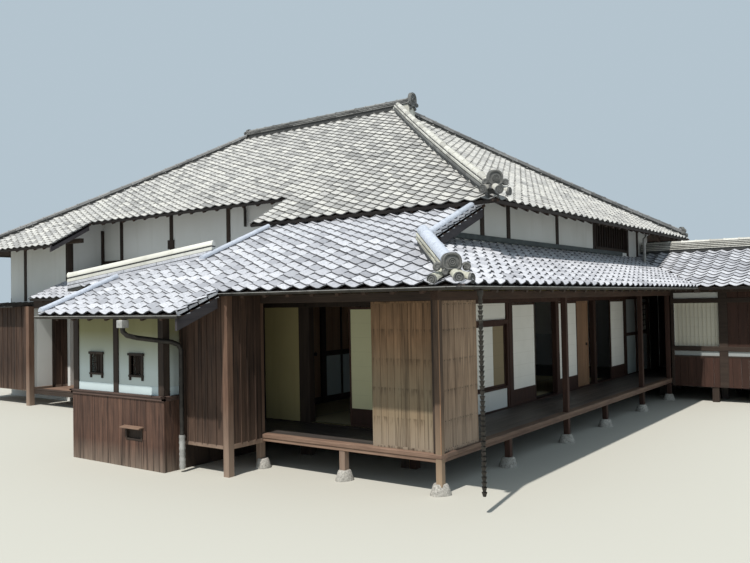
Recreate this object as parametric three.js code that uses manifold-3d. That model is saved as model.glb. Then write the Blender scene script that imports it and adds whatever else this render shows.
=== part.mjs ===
// A Japanese farmhouse (minka): a hipped main roof of clay tiles over white plaster walls, tiled lower roofs
// round it, an open veranda with sliding shutters and paper screens at its near corner, a plank closet and
// a plastered bath house on the front, a recessed entry with a plank bay on the left and a small wing on the
// right.
// Millimetres, +Z up. The house is laid out from the foot of its near veranda corner: +X runs along the front
// towards the right, +Y runs back, and z = 0 is the lower edge of the veranda's sill.
import * as THREE from "three";
import { mergeVertices } from "three/addons/utils/BufferGeometryUtils.js";
import Module from "manifold-3d";

const wasm = await Module();
wasm.setup();

// Driving dimensions
const KEN = 1910; // the bay between two posts
const GAP = 0.3; // between two pieces that rest on each other
const GROUND = -370;
const SILL_TOP = 95; // sill and veranda floor
const FLOOR_TOP = 110; // thresholds and room floor
const HEAD = 1780; // underside of the inner door heads
const LINTEL = 1850; // underside of the veranda's outer lintel
const WALL_SPLIT = 2000; // where the upper walls start
const WALL = 100; // wall thickness
const POST = 130;
const STUD_PROUD = 12; // what a stud stands out of the plaster
const STUD = 110; // width of a stud
const FOOT = 120; // width of a hidden foot post
const TIMBER_SINK = 10; // what a stud or a foot reaches into the piece behind or above it
const ROOF = 90; // boards and tiles together

// Main roof: hipped on all four sides, slightly hollow in its slope
const MAIN = { left: -15200, right: -250, front: 2000, back: 12300, eave: 3260, slope: 0.595, sag: 60 };
const MAIN_RUN = (MAIN.back - MAIN.front) / 2;
const MAIN_BREAKS = [0, 0.2, 0.5, 1]; // where the hollow slope changes its pitch
const CUT = { left: -11200, right: -5050, back: 3000 }; // where the front eave is set back

// Lower roofs
const LOW = { eave: 2040, slope: 0.4, edge: 750 };
const VERGE_X = -600; // right verge of the front lower roof
const VERGE_TOP = 2300; // where it ends under the main eave
const FRONT_LEFT_X = -4620; // left verge of the front lower roof
const PORCH = { right: -2820, left: -5900, front: -1410 }; // where it comes down lower, over the bath house
const RIDGE_LOW = { x: -6700, y: -350 }; // lower end of the plastered ridge
const RIDGE_HIGH = { x: FRONT_LEFT_X, y: 750 };
const LEAN_TO = { left: -12040, front: 1950, eave: 2080, slope: 0.42 };
const LEAN_TO_RIGHT = RIDGE_LOW.x - 50;
const BAY_ROOF = { left: -14700, right: -12230, front: 1700, eave: 1900, slope: 0.08, thickness: 40 };

// Walls, by their outer faces
const INNER = -1020; // line of paper screens on the right; the front one is as deep
const INNER_FRONT = 1020;
const HOUSE = { left: -14550, right: INNER, front: 2940, back: 11400 };
const MIDDLE_FRONT = 3890;
const SIDE_X = -4560; // left end of the upper front wall
const WING_SIDE_X = -11950;
const BATH = { left: -5800, right: -3760, front: -860 };
const CLOSET = { right: -2800, front: -620 };
const BAY = { left: -14550, right: -12050, front: 1980 };
const WING = { right: 1840, front: 9500, back: 12200, ridge: 10850, verge: 2200 };
const PARTITION_X = -4200;

// Helpers: closed three.js geometries made into solids, so that they can be joined and cut
function solidOf(geometry) {
  const bare = geometry.index ? geometry.toNonIndexed() : geometry.clone();
  for (const name of Object.keys(bare.attributes)) if (name !== "position") bare.deleteAttribute(name);
  const merged = mergeVertices(bare, 1e-3);
  const vertProperties = merged.attributes.position.array;
  const triVerts = new Uint32Array(merged.index.array);
  const made = new wasm.Manifold(new wasm.Mesh({ numProp: 3, vertProperties, triVerts }));
  if (made.volume() > 0) return made;
  for (let i = 0; i < triVerts.length; i += 3) {
    [triVerts[i + 1], triVerts[i + 2]] = [triVerts[i + 2], triVerts[i + 1]];
  }
  return new wasm.Manifold(new wasm.Mesh({ numProp: 3, vertProperties, triVerts }));
}

function box(x0, x1, y0, y1, z0, z1) {
  const geometry = new THREE.BoxGeometry(x1 - x0, y1 - y0, z1 - z0);
  return solidOf(geometry.translate((x0 + x1) / 2, (y0 + y1) / 2, (z0 + z1) / 2));
}

function join(...solids) {
  return solids.flat().reduce((whole, next) => whole.add(next));
}

function cut(solid, ...holes) {
  return holes.flat().reduce((left, hole) => left.subtract(hole), solid);
}

function shapeOf(outline) {
  return new THREE.Shape(outline.map(([u, v]) => new THREE.Vector2(u, v)));
}

// An outline drawn in the (y, z) plane, carried from x0 to x1
function prismX(outline, x0, x1) {
  const geometry = new THREE.ExtrudeGeometry(shapeOf(outline), { depth: x1 - x0, bevelEnabled: false });
  const turn = new THREE.Matrix4().makeBasis(
    new THREE.Vector3(0, 1, 0), new THREE.Vector3(0, 0, 1), new THREE.Vector3(1, 0, 0));
  return solidOf(geometry.applyMatrix4(turn).translate(x0, 0, 0));
}

// An outline drawn in the (x, z) plane, carried from y0 to y1
function prismY(outline, y0, y1) {
  const geometry = new THREE.ExtrudeGeometry(shapeOf(outline), { depth: y1 - y0, bevelEnabled: false });
  return solidOf(geometry.rotateX(Math.PI / 2).translate(0, y1, 0));
}

// An outline drawn in plan, carried from z0 to z1
function prismZ(outline, z0, z1) {
  const geometry = new THREE.ExtrudeGeometry(shapeOf(outline), { depth: z1 - z0, bevelEnabled: false });
  return solidOf(geometry.translate(0, 0, z0));
}

// A sloping slab over an outline in plan, its top at height(x, y)
function slab(outline, height, thickness = ROOF) {
  const geometry = new THREE.ExtrudeGeometry(shapeOf(outline), { depth: 1, bevelEnabled: false });
  const place = geometry.attributes.position;
  for (let i = 0; i < place.count; i++) {
    const top = height(place.getX(i), place.getY(i));
    place.setZ(i, top - thickness * (1 - place.getZ(i)));
  }
  return solidOf(geometry);
}

// A section, drawn across and up, carried through points that lie on one line in plan
function carried(points, section) {
  const [first, last] = [points[0], points[points.length - 1]];
  const length = Math.hypot(last[0] - first[0], last[1] - first[1]);
  const across = [(last[1] - first[1]) / length, -(last[0] - first[0]) / length];
  const vertices = points.flatMap(([x, y, z]) =>
    section.map(([side, up]) => [x + side * across[0], y + side * across[1], z + up]));
  const n = section.length;
  const end = (points.length - 1) * n;
  const cap = THREE.ShapeUtils.triangulateShape(section.map(([u, v]) => new THREE.Vector2(u, v)), []);
  const faces = cap.flatMap(([a, b, c]) => [a, c, b, end + a, end + b, end + c]);
  for (let step = 0; step < points.length - 1; step++) {
    for (let i = 0; i < n; i++) {
      const [a, b] = [step * n + i, step * n + ((i + 1) % n)];
      faces.push(a, b, b + n, a, b + n, a + n);
    }
  }
  const geometry = new THREE.BufferGeometry();
  geometry.setAttribute("position", new THREE.Float32BufferAttribute(vertices.flat(), 3));
  geometry.setIndex(faces);
  return solidOf(geometry);
}

// Seats a solid on the roofs below it, with the small gap between them, and keeps it out of their joints
const SEAT_MOVES = [[0, 0, 0], [0, 0, GAP], [2 * GAP, 0, GAP], [-2 * GAP, 0, GAP]];
function seat(solid, ...roofs) {
  return cut(solid, roofs.flatMap((roof) => SEAT_MOVES.map((move) => roof.translate(move))));
}

// Heights of the roofs
function mainTop(inset) {
  const t = inset / MAIN_RUN;
  return MAIN.eave + MAIN.slope * inset - 4 * MAIN.sag * t * (1 - t);
}

function mainUnder(inset) {
  const run = inset / MAIN_RUN;
  const i = Math.max(1, MAIN_BREAKS.findIndex((b) => b >= run));
  const [a, b] = [MAIN_BREAKS[i - 1], MAIN_BREAKS[i]];
  const share = (run - a) / (b - a);
  return mainTop(a * MAIN_RUN) * (1 - share) + mainTop(b * MAIN_RUN) * share - ROOF;
}

const frontTop = (x, y) => LOW.eave + LOW.slope * (y + LOW.edge);
const rightTop = (x) => LOW.eave + LOW.slope * (LOW.edge - x);
const wingTop = (x, y) => LOW.eave + LOW.slope * (y - WING.front + LOW.edge);
const wingBackTop = (x, y) => wingTop(x, 2 * WING.ridge - y);
const leanTop = (x, y) => LEAN_TO.eave + LEAN_TO.slope * (y - LEAN_TO.front);
const bayTop = (x, y) => BAY_ROOF.eave + BAY_ROOF.slope * (y - BAY_ROOF.front);
const ridgeLowZ = frontTop(0, RIDGE_LOW.y);
const leftSlope = (frontTop(0, RIDGE_HIGH.y) - ridgeLowZ) / (RIDGE_HIGH.x - RIDGE_LOW.x);
const leftTop = (x) => ridgeLowZ + leftSlope * (x - RIDGE_LOW.x);

// The space under the main roof's four slopes, down to the ground and lowered by an amount. With its edges
// carried on outwards it reaches past the eaves.
const PAST = 400;
const eaveDrop = (PAST * (mainTop(MAIN_BREAKS[1] * MAIN_RUN) - MAIN.eave)) / (MAIN_BREAKS[1] * MAIN_RUN);
function mainSpace(lowered, past) {
  const rise = MAIN_BREAKS.map((b) => [b * MAIN_RUN, mainTop(b * MAIN_RUN)]);
  const profile = past ? [[-PAST, MAIN.eave - eaveDrop], ...rise.slice(1)] : rise;
  const closed = (outline) => [...outline, [outline.at(-1)[0], GROUND], [outline[0][0], GROUND]];
  const across = closed([
    ...profile.map(([d, z]) => [MAIN.front + d, z]),
    ...profile.slice(0, -1).reverse().map(([d, z]) => [MAIN.back - d, z])]);
  const along = closed([
    ...profile.map(([d, z]) => [MAIN.left + d, z]),
    ...profile.slice().reverse().map(([d, z]) => [MAIN.right - d, z])]);
  return prismX(across, MAIN.left - PAST, MAIN.right + PAST)
    .intersect(prismY(along, MAIN.front - PAST, MAIN.back + PAST)).translate([0, 0, -lowered]);
}

function mainRoof() {
  const setBack = box(CUT.left, CUT.right, MAIN.front - 10, CUT.back, GROUND, MAIN.eave + 2 * PAST);
  const low = box(MAIN.left - PAST, MAIN.right + PAST, MAIN.front - PAST, MAIN.back + PAST,
    GROUND - 10, MAIN.eave - ROOF);
  return cut(mainSpace(0, false), mainSpace(ROOF, true), setBack, low);
}

// Cuts a wall off just under the main roof
const attic = mainSpace(ROOF + GAP, true);
const underMain = (solid) => solid.intersect(attic);

// Materials
const material = (color, roughness, metalness = 0) =>
  new THREE.MeshStandardMaterial({ color, roughness, metalness });
const tile = material(0xa9aeb4, 0.5);
const plaster = material(0xe6e4d8, 0.9);
const timber = material(0x3c2c22, 0.75);
const board = material(0x5a4334, 0.8);
const weathered = material(0x9a7e5f, 0.85);
const paper = material(0xefeadb, 0.9);
const copper = material(0x3a3835, 0.5, 0.6);

const house = new THREE.Group();

function add(name, solid, look) {
  const { numProp, vertProperties, triVerts } = solid.getMesh();
  const place = new Float32Array((vertProperties.length / numProp) * 3);
  for (let i = 0; i < place.length / 3; i++) {
    place.set(vertProperties.subarray(i * numProp, i * numProp + 3), i * 3);
  }
  const geometry = new THREE.BufferGeometry();
  geometry.setAttribute("position", new THREE.BufferAttribute(place, 3));
  geometry.setIndex(new THREE.BufferAttribute(new Uint32Array(triVerts), 1));
  geometry.computeVertexNormals();
  const mesh = new THREE.Mesh(geometry, look);
  mesh.name = name;
  house.add(mesh);
  return solid;
}

// Roofs
const RIDGE = { left: MAIN.left + MAIN_RUN, right: MAIN.right - MAIN_RUN, y: (MAIN.front + MAIN.back) / 2 };
const mainShell = mainRoof();
const nearCorners = [[MAIN.left - PAST, MAIN.front - PAST], [MAIN.right + PAST, MAIN.front - PAST]];
const farCorners = [[MAIN.right + PAST, MAIN.back + PAST], [MAIN.left - PAST, MAIN.back + PAST]];
const [leftPeak, rightPeak] = [[RIDGE.left, RIDGE.y], [RIDGE.right, RIDGE.y]];
// One slope of the main roof, moved out a little from the hips and the ridge where it meets the others
function mainSlope(outline, outX, outY) {
  const region = prismZ(outline, GROUND, MAIN.eave + MAIN_RUN);
  return mainShell.intersect(region.translate([(outX * GAP) / 2, (outY * GAP) / 2, 0]));
}
add("main_roof_front", mainSlope([...nearCorners, rightPeak, leftPeak], 0, -1), tile);
add("main_roof_back", mainSlope([...farCorners, leftPeak, rightPeak], 0, 1), tile);
add("main_roof_left", mainSlope([farCorners[1], nearCorners[0], leftPeak], -1, 0), tile);
add("main_roof_right", mainSlope([nearCorners[1], farCorners[0], rightPeak], 1, 0), tile);

const hip = (x) => -x; // the lower roofs meet where y = -x
const frontOutline = [
  [PORCH.right, PORCH.front], [PORCH.right, -LOW.edge], [LOW.edge, -LOW.edge], [VERGE_X, hip(VERGE_X)],
  [VERGE_X, VERGE_TOP], [INNER, VERGE_TOP], [INNER, HOUSE.front - GAP], [FRONT_LEFT_X, HOUSE.front - GAP],
  [RIDGE_HIGH.x, RIDGE_HIGH.y], [RIDGE_LOW.x, RIDGE_LOW.y], [PORCH.left, RIDGE_LOW.y],
  [PORCH.left, PORCH.front]];
const frontShell = add("front_lower_roof", slab(frontOutline, frontTop), tile);

const wingEave = WING.front - LOW.edge;
const wingBackEave = 2 * WING.ridge - wingEave;
const valleyTop = wingEave + (LOW.edge - INNER);
const rightOutline = [
  [LOW.edge, -LOW.edge + 2 * GAP], [LOW.edge, wingEave], [INNER + GAP, valleyTop - GAP],
  [INNER + GAP, hip(INNER) + GAP]];
const frontMoved = [[GAP, 0, 0], [0, 0, -GAP]].map((move) => frontShell.translate(move));
const rightShell = add("right_lower_roof", cut(slab(rightOutline, rightTop), frontMoved), tile);

const wingFront = slab([
  [LOW.edge + 2 * GAP, wingEave], [WING.verge, wingEave], [WING.verge, WING.ridge],
  [INNER + GAP, WING.ridge], [INNER + GAP, valleyTop + 2 * GAP]], wingTop);
const wingBack = slab([
  [HOUSE.right + GAP - WALL, WING.ridge], [WING.verge, WING.ridge], [WING.verge, wingBackEave],
  [HOUSE.right - WALL, wingBackEave]], wingBackTop);
const houseCorner = box(
  HOUSE.right - 2 * WALL, HOUSE.right + GAP, WING.front, HOUSE.back + GAP, GROUND, MAIN.eave);
const wingShell = add("wing_roof", cut(join(wingFront, wingBack), houseCorner), tile);

const leftShell = add("left_lower_roof", slab([
  [LEAN_TO_RIGHT, RIDGE_LOW.y + 2 * GAP], [RIDGE_LOW.x, RIDGE_LOW.y + 2 * GAP],
  [RIDGE_HIGH.x - GAP, RIDGE_HIGH.y + 2 * GAP], [RIDGE_HIGH.x - GAP, MIDDLE_FRONT - GAP],
  [LEAN_TO_RIGHT, MIDDLE_FRONT - GAP]], leftTop), tile);

// The lean-to stops where the left roof comes over it
const leanSlab = slab([
  [LEAN_TO.left, LEAN_TO.front], [LEAN_TO_RIGHT - GAP, LEAN_TO.front],
  [LEAN_TO_RIGHT - GAP, MIDDLE_FRONT - GAP], [LEAN_TO.left, MIDDLE_FRONT - GAP]], leanTop);
const wingSideClear = box(LEAN_TO.left - 10, WING_SIDE_X + GAP, HOUSE.front - STUD_PROUD - GAP, MIDDLE_FRONT,
  GROUND, MAIN.eave);
const leanShell = add("middle_lower_roof", cut(leanSlab, wingSideClear), tile);

add("plank_bay_roof", slab([
  [BAY_ROOF.left, BAY_ROOF.front], [BAY_ROOF.right, BAY_ROOF.front], [BAY_ROOF.right, HOUSE.front - GAP],
  [BAY_ROOF.left, HOUSE.front - GAP]], bayTop, BAY_ROOF.thickness), tile);

// Ridges: a stack of flat courses under a half-round top
function ridgeSection(width, height, bury = 45) {
  const radius = width * 0.36;
  const shoulder = height - radius;
  const steps = 6;
  const top = Array.from({ length: steps + 1 }, (_, i) => {
    const turn = (Math.PI * i) / steps;
    return [radius * Math.cos(turn), shoulder + radius * Math.sin(turn)];
  });
  return [[-width / 2, -bury], [width / 2, -bury], [width / 2, shoulder], ...top, [-width / 2, shoulder]];
}

// An end ornament: an arched plate that stands across a ridge, with a round boss on its face
function ornament([x, y, z], [dx, dy], width, height, thickness = 80) {
  const half = width / 2;
  const outline = [[-half, -30], [half, -30], [half * 1.12, height * 0.2], [half * 0.8, height * 0.5],
    [half * 0.6, height * 0.8], [half * 0.25, height], [-half * 0.25, height], [-half * 0.6, height * 0.8],
    [-half * 0.8, height * 0.5], [-half * 1.12, height * 0.2]];
  const back = [x - (dx * thickness) / 2, y - (dy * thickness) / 2, z];
  const front = [x + (dx * thickness) / 2, y + (dy * thickness) / 2, z];
  const boss = new THREE.CylinderGeometry(half * 0.45, half * 0.5, thickness, 16);
  boss.rotateX(Math.PI / 2).rotateZ(Math.atan2(dy, dx) - Math.PI / 2);
  boss.translate(x + dx * thickness * 0.8, y + dy * thickness * 0.8, z + height * 0.5);
  return join(carried([back, front], outline), solidOf(boss));
}

// The main ridge runs on past the right hips, down to the slope below it, to an ornament that stands there
const ridgeZ = mainTop(MAIN_RUN);
const ridgeEnds = [[RIDGE.left - 120, ridgeZ], [RIDGE.right + 480, ridgeZ]];
const rightFoot = ridgeZ - 200;
add("main_ridge", seat(join(
  carried(ridgeEnds.map(([x, z]) => [x, RIDGE.y, z]), ridgeSection(260, 180, 400)),
  ornament([ridgeEnds[0][0], RIDGE.y, ridgeZ], [-1, 0], 260, 210),
  ornament([ridgeEnds[1][0], RIDGE.y, rightFoot], [1, 0], 340, 470)), mainSpace(0, true)), tile);

// The four hip ridges of the main roof follow its hollow slope and stop short of the main ridge
const diagonal = Math.SQRT1_2;
const HIP = { foot: 190, head: 290, width: 220, height: 190, leftHeight: 130 };
function hipRidge(cornerX, cornerY, signX, signY, height = HIP.height) {
  const insets = [HIP.foot, ...MAIN_BREAKS.slice(1, -1).map((b) => b * MAIN_RUN), MAIN_RUN - HIP.head];
  const points = insets.map((d) => [cornerX + signX * d, cornerY + signY * d, mainUnder(d) + ROOF]);
  const foot = ornament(points[0], [-signX * diagonal, -signY * diagonal], 330, height + 90);
  return seat(join(carried(points, ridgeSection(HIP.width, height)), foot), mainShell);
}
add("near_hip_ridge", hipRidge(MAIN.right, MAIN.front, -1, 1), tile);
add("far_hip_ridge", hipRidge(MAIN.right, MAIN.back, -1, -1), tile);
add("left_hip_ridge", hipRidge(MAIN.left, MAIN.front, 1, 1, HIP.leftHeight), tile);
add("back_hip_ridge", hipRidge(MAIN.left, MAIN.back, 1, -1, HIP.leftHeight), tile);

const [lowHipFoot, lowHipHead] = [LOW.edge - 130, VERGE_X + 190].map((x) => [x, hip(x), rightTop(x)]);
add("lower_hip_ridge", seat(join(
  carried([lowHipFoot, lowHipHead], ridgeSection(200, 200)),
  ornament(lowHipFoot, [diagonal, -diagonal], 330, 260)), frontShell, rightShell), tile);

// The plastered ridge runs down between the front lower roof and the left lower roof
const plasterTurn = (RIDGE_HIGH.y - RIDGE_LOW.y) / (RIDGE_HIGH.x - RIDGE_LOW.x);
const plasterLine = (x) => RIDGE_LOW.y + (x - RIDGE_LOW.x) * plasterTurn;
const plasterEnds = [RIDGE_LOW.x + 40, RIDGE_HIGH.x - 60].map((x) => [x, plasterLine(x), leftTop(x)]);
add("plastered_ridge",
  seat(carried(plasterEnds, ridgeSection(210, 230, 30)), frontShell, leftShell), plaster);

const wingRidgeEnds = [-150, WING.verge - 30].map((x) => [x, WING.ridge, wingTop(0, WING.ridge)]);
add("wing_ridge", seat(carried(wingRidgeEnds, ridgeSection(200, 230, 42)), wingShell), tile);

// Verges: a half-round tile course along a gable edge of a roof
const VERGE_TUBE = 75; // half its width
function vergeTube(x, y0, y1, roof) {
  const ends = [[x, y0, frontTop(x, y0)], [x, y1, frontTop(x, y1)]];
  return seat(carried(ends, ridgeSection(2 * VERGE_TUBE, 100, 20)), roof);
}
add("right_verge", vergeTube(VERGE_X - VERGE_TUBE, 880, MAIN.front - 20, frontShell), tile);
add("upper_left_verge", vergeTube(FRONT_LEFT_X + VERGE_TUBE, 900, MAIN.front - 20, frontShell), tile);
add("lower_left_verge", vergeTube(PORCH.left + VERGE_TUBE, PORCH.front + 10, -110, frontShell), tile);

// Barge boards hang under the verges
const geyaUnder = (y) => frontTop(0, y) - ROOF - GAP;
function bargeBoard(x0, y0, y1, depth, thickness = 35) {
  const [near, far] = [geyaUnder(y0), geyaUnder(y1)];
  return prismX([[y0, near], [y1, far], [y1, far - depth], [y0, near - depth]], x0, x0 + thickness);
}
const rightBarge = bargeBoard(VERGE_X - 50, 1100, VERGE_TOP - 20, 140);
add("right_barge_board", cut(rightBarge, rightShell.translate([0, 0, GAP])), timber);
add("left_barge_board", bargeBoard(PORCH.right - 36, PORCH.front + 5, -LOW.edge - 5, 150), timber);

// Upper walls: plaster between dark studs, each cut to the roof above it
function studs(list, make) {
  return list.map((at) => make(at - STUD / 2, at + STUD / 2));
}

const WALL_HIGH = 5000; // above the roof, before the walls are cut off under it
const upperRightOutline = [
  [INNER_FRONT, WALL_SPLIT], [HOUSE.back, WALL_SPLIT], [HOUSE.back, WALL_HIGH], [HOUSE.front, WALL_HIGH],
  [HOUSE.front, geyaUnder(HOUSE.front)], [INNER_FRONT, geyaUnder(INNER_FRONT)]];
const rightStuds = studs([3000, 3900, 5900, 7800, 9900, 10600], (y0, y1) => box(INNER - TIMBER_SINK,
  INNER + STUD_PROUD, y0, y1, Math.max(rightTop(INNER), wingTop(0, y1)) + TIMBER_SINK, WALL_HIGH));
const LATTICE = { front: 7870, back: 9830, bottom: 2870, top: 3500, rail: 30, bar: 45, pitch: 150 };
const upperWindow = box(
  INNER - 2 * WALL, INNER + WALL, LATTICE.front, LATTICE.back, LATTICE.bottom, LATTICE.top);
add("upper_right_wall",
  cut(underMain(join(prismX(upperRightOutline, INNER - WALL, INNER), rightStuds)), upperWindow), plaster);
const latticePiece = (y0, y1, z0, z1) => box(INNER - 70, INNER - 30, y0, y1, z0, z1);
const latticeBars = Array.from({ length: 13 }, (_, i) => {
  const y = LATTICE.front + 60 + i * LATTICE.pitch;
  return latticePiece(y, y + LATTICE.bar, LATTICE.bottom + 10, LATTICE.top - 10);
});
const [latticeFront, latticeBack] = [LATTICE.front + GAP, LATTICE.back - GAP];
add("upper_lattice_window", join(latticeBars,
  latticePiece(latticeFront, latticeBack, LATTICE.bottom + GAP, LATTICE.bottom + LATTICE.rail),
  latticePiece(latticeFront, latticeBack, LATTICE.top - LATTICE.rail, LATTICE.top - GAP)), timber);

const upperSideWall = prismX([
  [INNER_FRONT, WALL_SPLIT], [HOUSE.front, WALL_SPLIT], [HOUSE.front, geyaUnder(HOUSE.front)],
  [INNER_FRONT, geyaUnder(INNER_FRONT)]], SIDE_X, SIDE_X + WALL);
add("upper_front_wall", join(upperSideWall, underMain(join(
  box(SIDE_X, INNER - WALL, HOUSE.front, HOUSE.front + WALL, WALL_SPLIT, WALL_HIGH),
  box(SIDE_X, SIDE_X + WALL, HOUSE.front, MIDDLE_FRONT, WALL_SPLIT, WALL_HIGH)))), plaster);

const middleStuds = studs([-11240, -9400, -7540, -5700], (x0, x1) => box(x0, x1, MIDDLE_FRONT - STUD_PROUD,
  MIDDLE_FRONT + TIMBER_SINK, leanTop(0, MIDDLE_FRONT) + TIMBER_SINK, WALL_HIGH));
add("upper_middle_wall", underMain(join(middleStuds,
  box(WING_SIDE_X, SIDE_X + WALL, MIDDLE_FRONT, MIDDLE_FRONT + WALL, WALL_SPLIT, WALL_HIGH))), plaster);

const leftWingStuds = studs([WING_SIDE_X - 70, -13860], (x0, x1) => box(x0, x1, HOUSE.front - STUD_PROUD,
  HOUSE.front + TIMBER_SINK, bayTop(0, HOUSE.front) + TIMBER_SINK, WALL_HIGH));
add("left_wing_wall", underMain(join(leftWingStuds,
  box(HOUSE.left + WALL, WING_SIDE_X, HOUSE.front, HOUSE.front + WALL, GROUND, WALL_HIGH),
  box(WING_SIDE_X - WALL, WING_SIDE_X, HOUSE.front, MIDDLE_FRONT, GROUND, WALL_HIGH))), plaster);

// Outer walls of the unseen sides, plaster over a board dado
function windowsAlong(from, count, pitch, width, cutter) {
  return Array.from({ length: count }, (_, i) => cutter(from + i * pitch, from + i * pitch + width));
}
const SIDE_WINDOW = { width: 1700, bottom: 900 };
const leftWindows = windowsAlong(5000, 2, 2 * KEN, SIDE_WINDOW.width, (y0, y1) =>
  box(HOUSE.left - WALL, HOUSE.left + 2 * WALL, y0, y1, SIDE_WINDOW.bottom, HEAD));
add("left_wall", cut(underMain(
  box(HOUSE.left, HOUSE.left + WALL, HOUSE.front, HOUSE.back, GROUND, WALL_HIGH)), leftWindows), plaster);
const backWindows = windowsAlong(-12700, 3, 2 * KEN, SIDE_WINDOW.width, (x0, x1) =>
  box(x0, x1, HOUSE.back - 2 * WALL, HOUSE.back + WALL, SIDE_WINDOW.bottom, HEAD));
const backWall = box(HOUSE.left + WALL, INNER - WALL, HOUSE.back - WALL, HOUSE.back, GROUND, WALL_HIGH);
add("back_wall", cut(underMain(backWall), backWindows), plaster);

// Inner walls: the lines of screens behind the veranda, on posts that stand on the ground
const POST_Y = [1080, 3910, 5830, 7740, 9650, 11340];
const WALL_FOOT = -20;
const rightPosts = POST_Y.map((y) => box(INNER - WALL, INNER, y - FOOT / 2, y + FOOT / 2, GROUND, 0));
const JAMB = 70; // from a post's middle line to the doorway beside it
const rightDoorways = [1, 2, 3].map((i) =>
  box(INNER - 2 * WALL, INNER + WALL, POST_Y[i] + JAMB, POST_Y[i + 1] - JAMB, FLOOR_TOP, HEAD));
const SCREEN_WINDOW = { front: 2050, back: 3840, bottom: 450, top: 1450 };
const screenWindow = box(INNER - 2 * WALL, INNER + WALL,
  SCREEN_WINDOW.front, SCREEN_WINDOW.back, SCREEN_WINDOW.bottom, SCREEN_WINDOW.top);
const lastWindow = box(INNER - 2 * WALL, INNER + WALL, 10780, 11270, 1050, 1650);
const rightWall = box(INNER - WALL, INNER, INNER_FRONT, HOUSE.back, WALL_FOOT, WALL_SPLIT - GAP);
add("inner_right_wall", cut(join(rightWall, rightPosts), rightDoorways, screenWindow, lastWindow), timber);
const windowScreen = (x0, x1, y0, y1) =>
  box(x0, x1, y0, y1, SCREEN_WINDOW.bottom + GAP, SCREEN_WINDOW.top - GAP);
add("window_screens", join(
  windowScreen(INNER - 55, INNER - 30, SCREEN_WINDOW.front + GAP, 2960),
  windowScreen(INNER - 80, INNER - 54, 2930, SCREEN_WINDOW.back - GAP)), paper);

const frontDoorway = box(-2850, -1190, INNER_FRONT - WALL, INNER_FRONT + 2 * WALL, FLOOR_TOP, HEAD);
const frontPosts = [-4500, -2950, -1180].map((x) =>
  box(x - FOOT / 2, x + FOOT / 2, INNER_FRONT, INNER_FRONT + WALL, GROUND, 0));
const frontWall = box(SIDE_X, INNER - WALL, INNER_FRONT, INNER_FRONT + WALL, WALL_FOOT, WALL_SPLIT - GAP);
add("inner_front_wall", cut(join(frontWall, frontPosts), frontDoorway), plaster);

const PARTITION = { front: INNER_FRONT + WALL, back: MIDDLE_FRONT + WALL, thickness: 60, sill: 230 };
const partitionPiece = (inset, z0, z1) => box(PARTITION_X + inset, PARTITION_X + PARTITION.thickness - inset,
  PARTITION.front, PARTITION.back, z0, z1);
const partitionPosts = [PARTITION.front + FOOT / 2, 2400, 2900, PARTITION.back - FOOT / 2].map((y) =>
  box(PARTITION_X - 20, PARTITION_X + 80, y - FOOT / 2, y + FOOT / 2, FLOOR_TOP, WALL_SPLIT - GAP));
add("room_partition", join(
  partitionPiece(0, FLOOR_TOP, PARTITION.sill), partitionPiece(0, HEAD, WALL_SPLIT - GAP),
  partitionPiece(15, PARTITION.sill - 30, HEAD + 10), partitionPosts), board);

// Floors
const FLOOR_BOTTOM = 60;
add("veranda_floor", prismZ([
  [BATH.right, POST], [-POST, POST], [-POST, WING.front], [INNER, WING.front], [INNER, INNER_FRONT],
  [BATH.right, INNER_FRONT]], FLOOR_BOTTOM, SILL_TOP), board);
function feet(columns, rows) {
  return columns.flatMap((x) => rows.map((y) =>
    box(x - FOOT / 2, x + FOOT / 2, y - FOOT / 2, y + FOOT / 2, GROUND, FLOOR_BOTTOM + 5)));
}
const roomFloor = box(
  BATH.left + WALL, INNER - WALL, INNER_FRONT + WALL, HOUSE.back - WALL, FLOOR_BOTTOM, FLOOR_TOP);
add("room_floor", join(roomFloor, feet([-5300, -3300, -1400], [1500, 4200, 7000, 9800])), board);

// Outer frame of the veranda: posts on stones, sill and lintel
const STONE = { top: 105, bottom: 160, height: 120 };
function foot(x, y) {
  const stone = new THREE.CylinderGeometry(STONE.top, STONE.bottom, STONE.height, 8);
  stone.rotateX(Math.PI / 2).translate(x, y, GROUND + STONE.height / 2);
  return solidOf(stone);
}
const FRAME_INSET = 15; // from a post's face to the lintel's
const SHORT_FOOT = 90; // width of a foot under the sill between two posts
const shortFoot = (x, y) => box(
  x - SHORT_FOOT / 2, x + SHORT_FOOT / 2, y - SHORT_FOOT / 2, y + SHORT_FOOT / 2, GROUND, TIMBER_SINK);
const lintelTop = rightTop(0) - ROOF - GAP;
const rightFramePosts = [POST / 2, 3800, 7600, WING.front - POST / 2];
const rightFeet = [1800, 5500];
add("right_veranda_frame", join(
  box(-POST, 0, 0, WING.front, 0, SILL_TOP),
  box(-POST + FRAME_INSET, 0, 0, WING.front, LINTEL, lintelTop),
  rightFramePosts.map((y) => box(-POST, 0, y - POST / 2, y + POST / 2, GROUND, lintelTop)),
  rightFeet.map((y) => shortFoot(-POST / 2, y)),
  [...rightFramePosts, ...rightFeet].map((y) => foot(-POST / 2, y))), timber);
const closetPost = CLOSET.right - POST / 2;
const FRONT_FOOT_X = -1460;
add("front_veranda_frame", join(
  box(BATH.right, -POST, 0, POST, 0, SILL_TOP),
  box(BATH.right, -POST, FRAME_INSET, POST, LINTEL, lintelTop),
  box(closetPost - POST / 2, closetPost + POST / 2, 0, POST, GROUND, lintelTop),
  shortFoot(FRONT_FOOT_X, POST / 2), foot(FRONT_FOOT_X, POST / 2)), timber);

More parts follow.
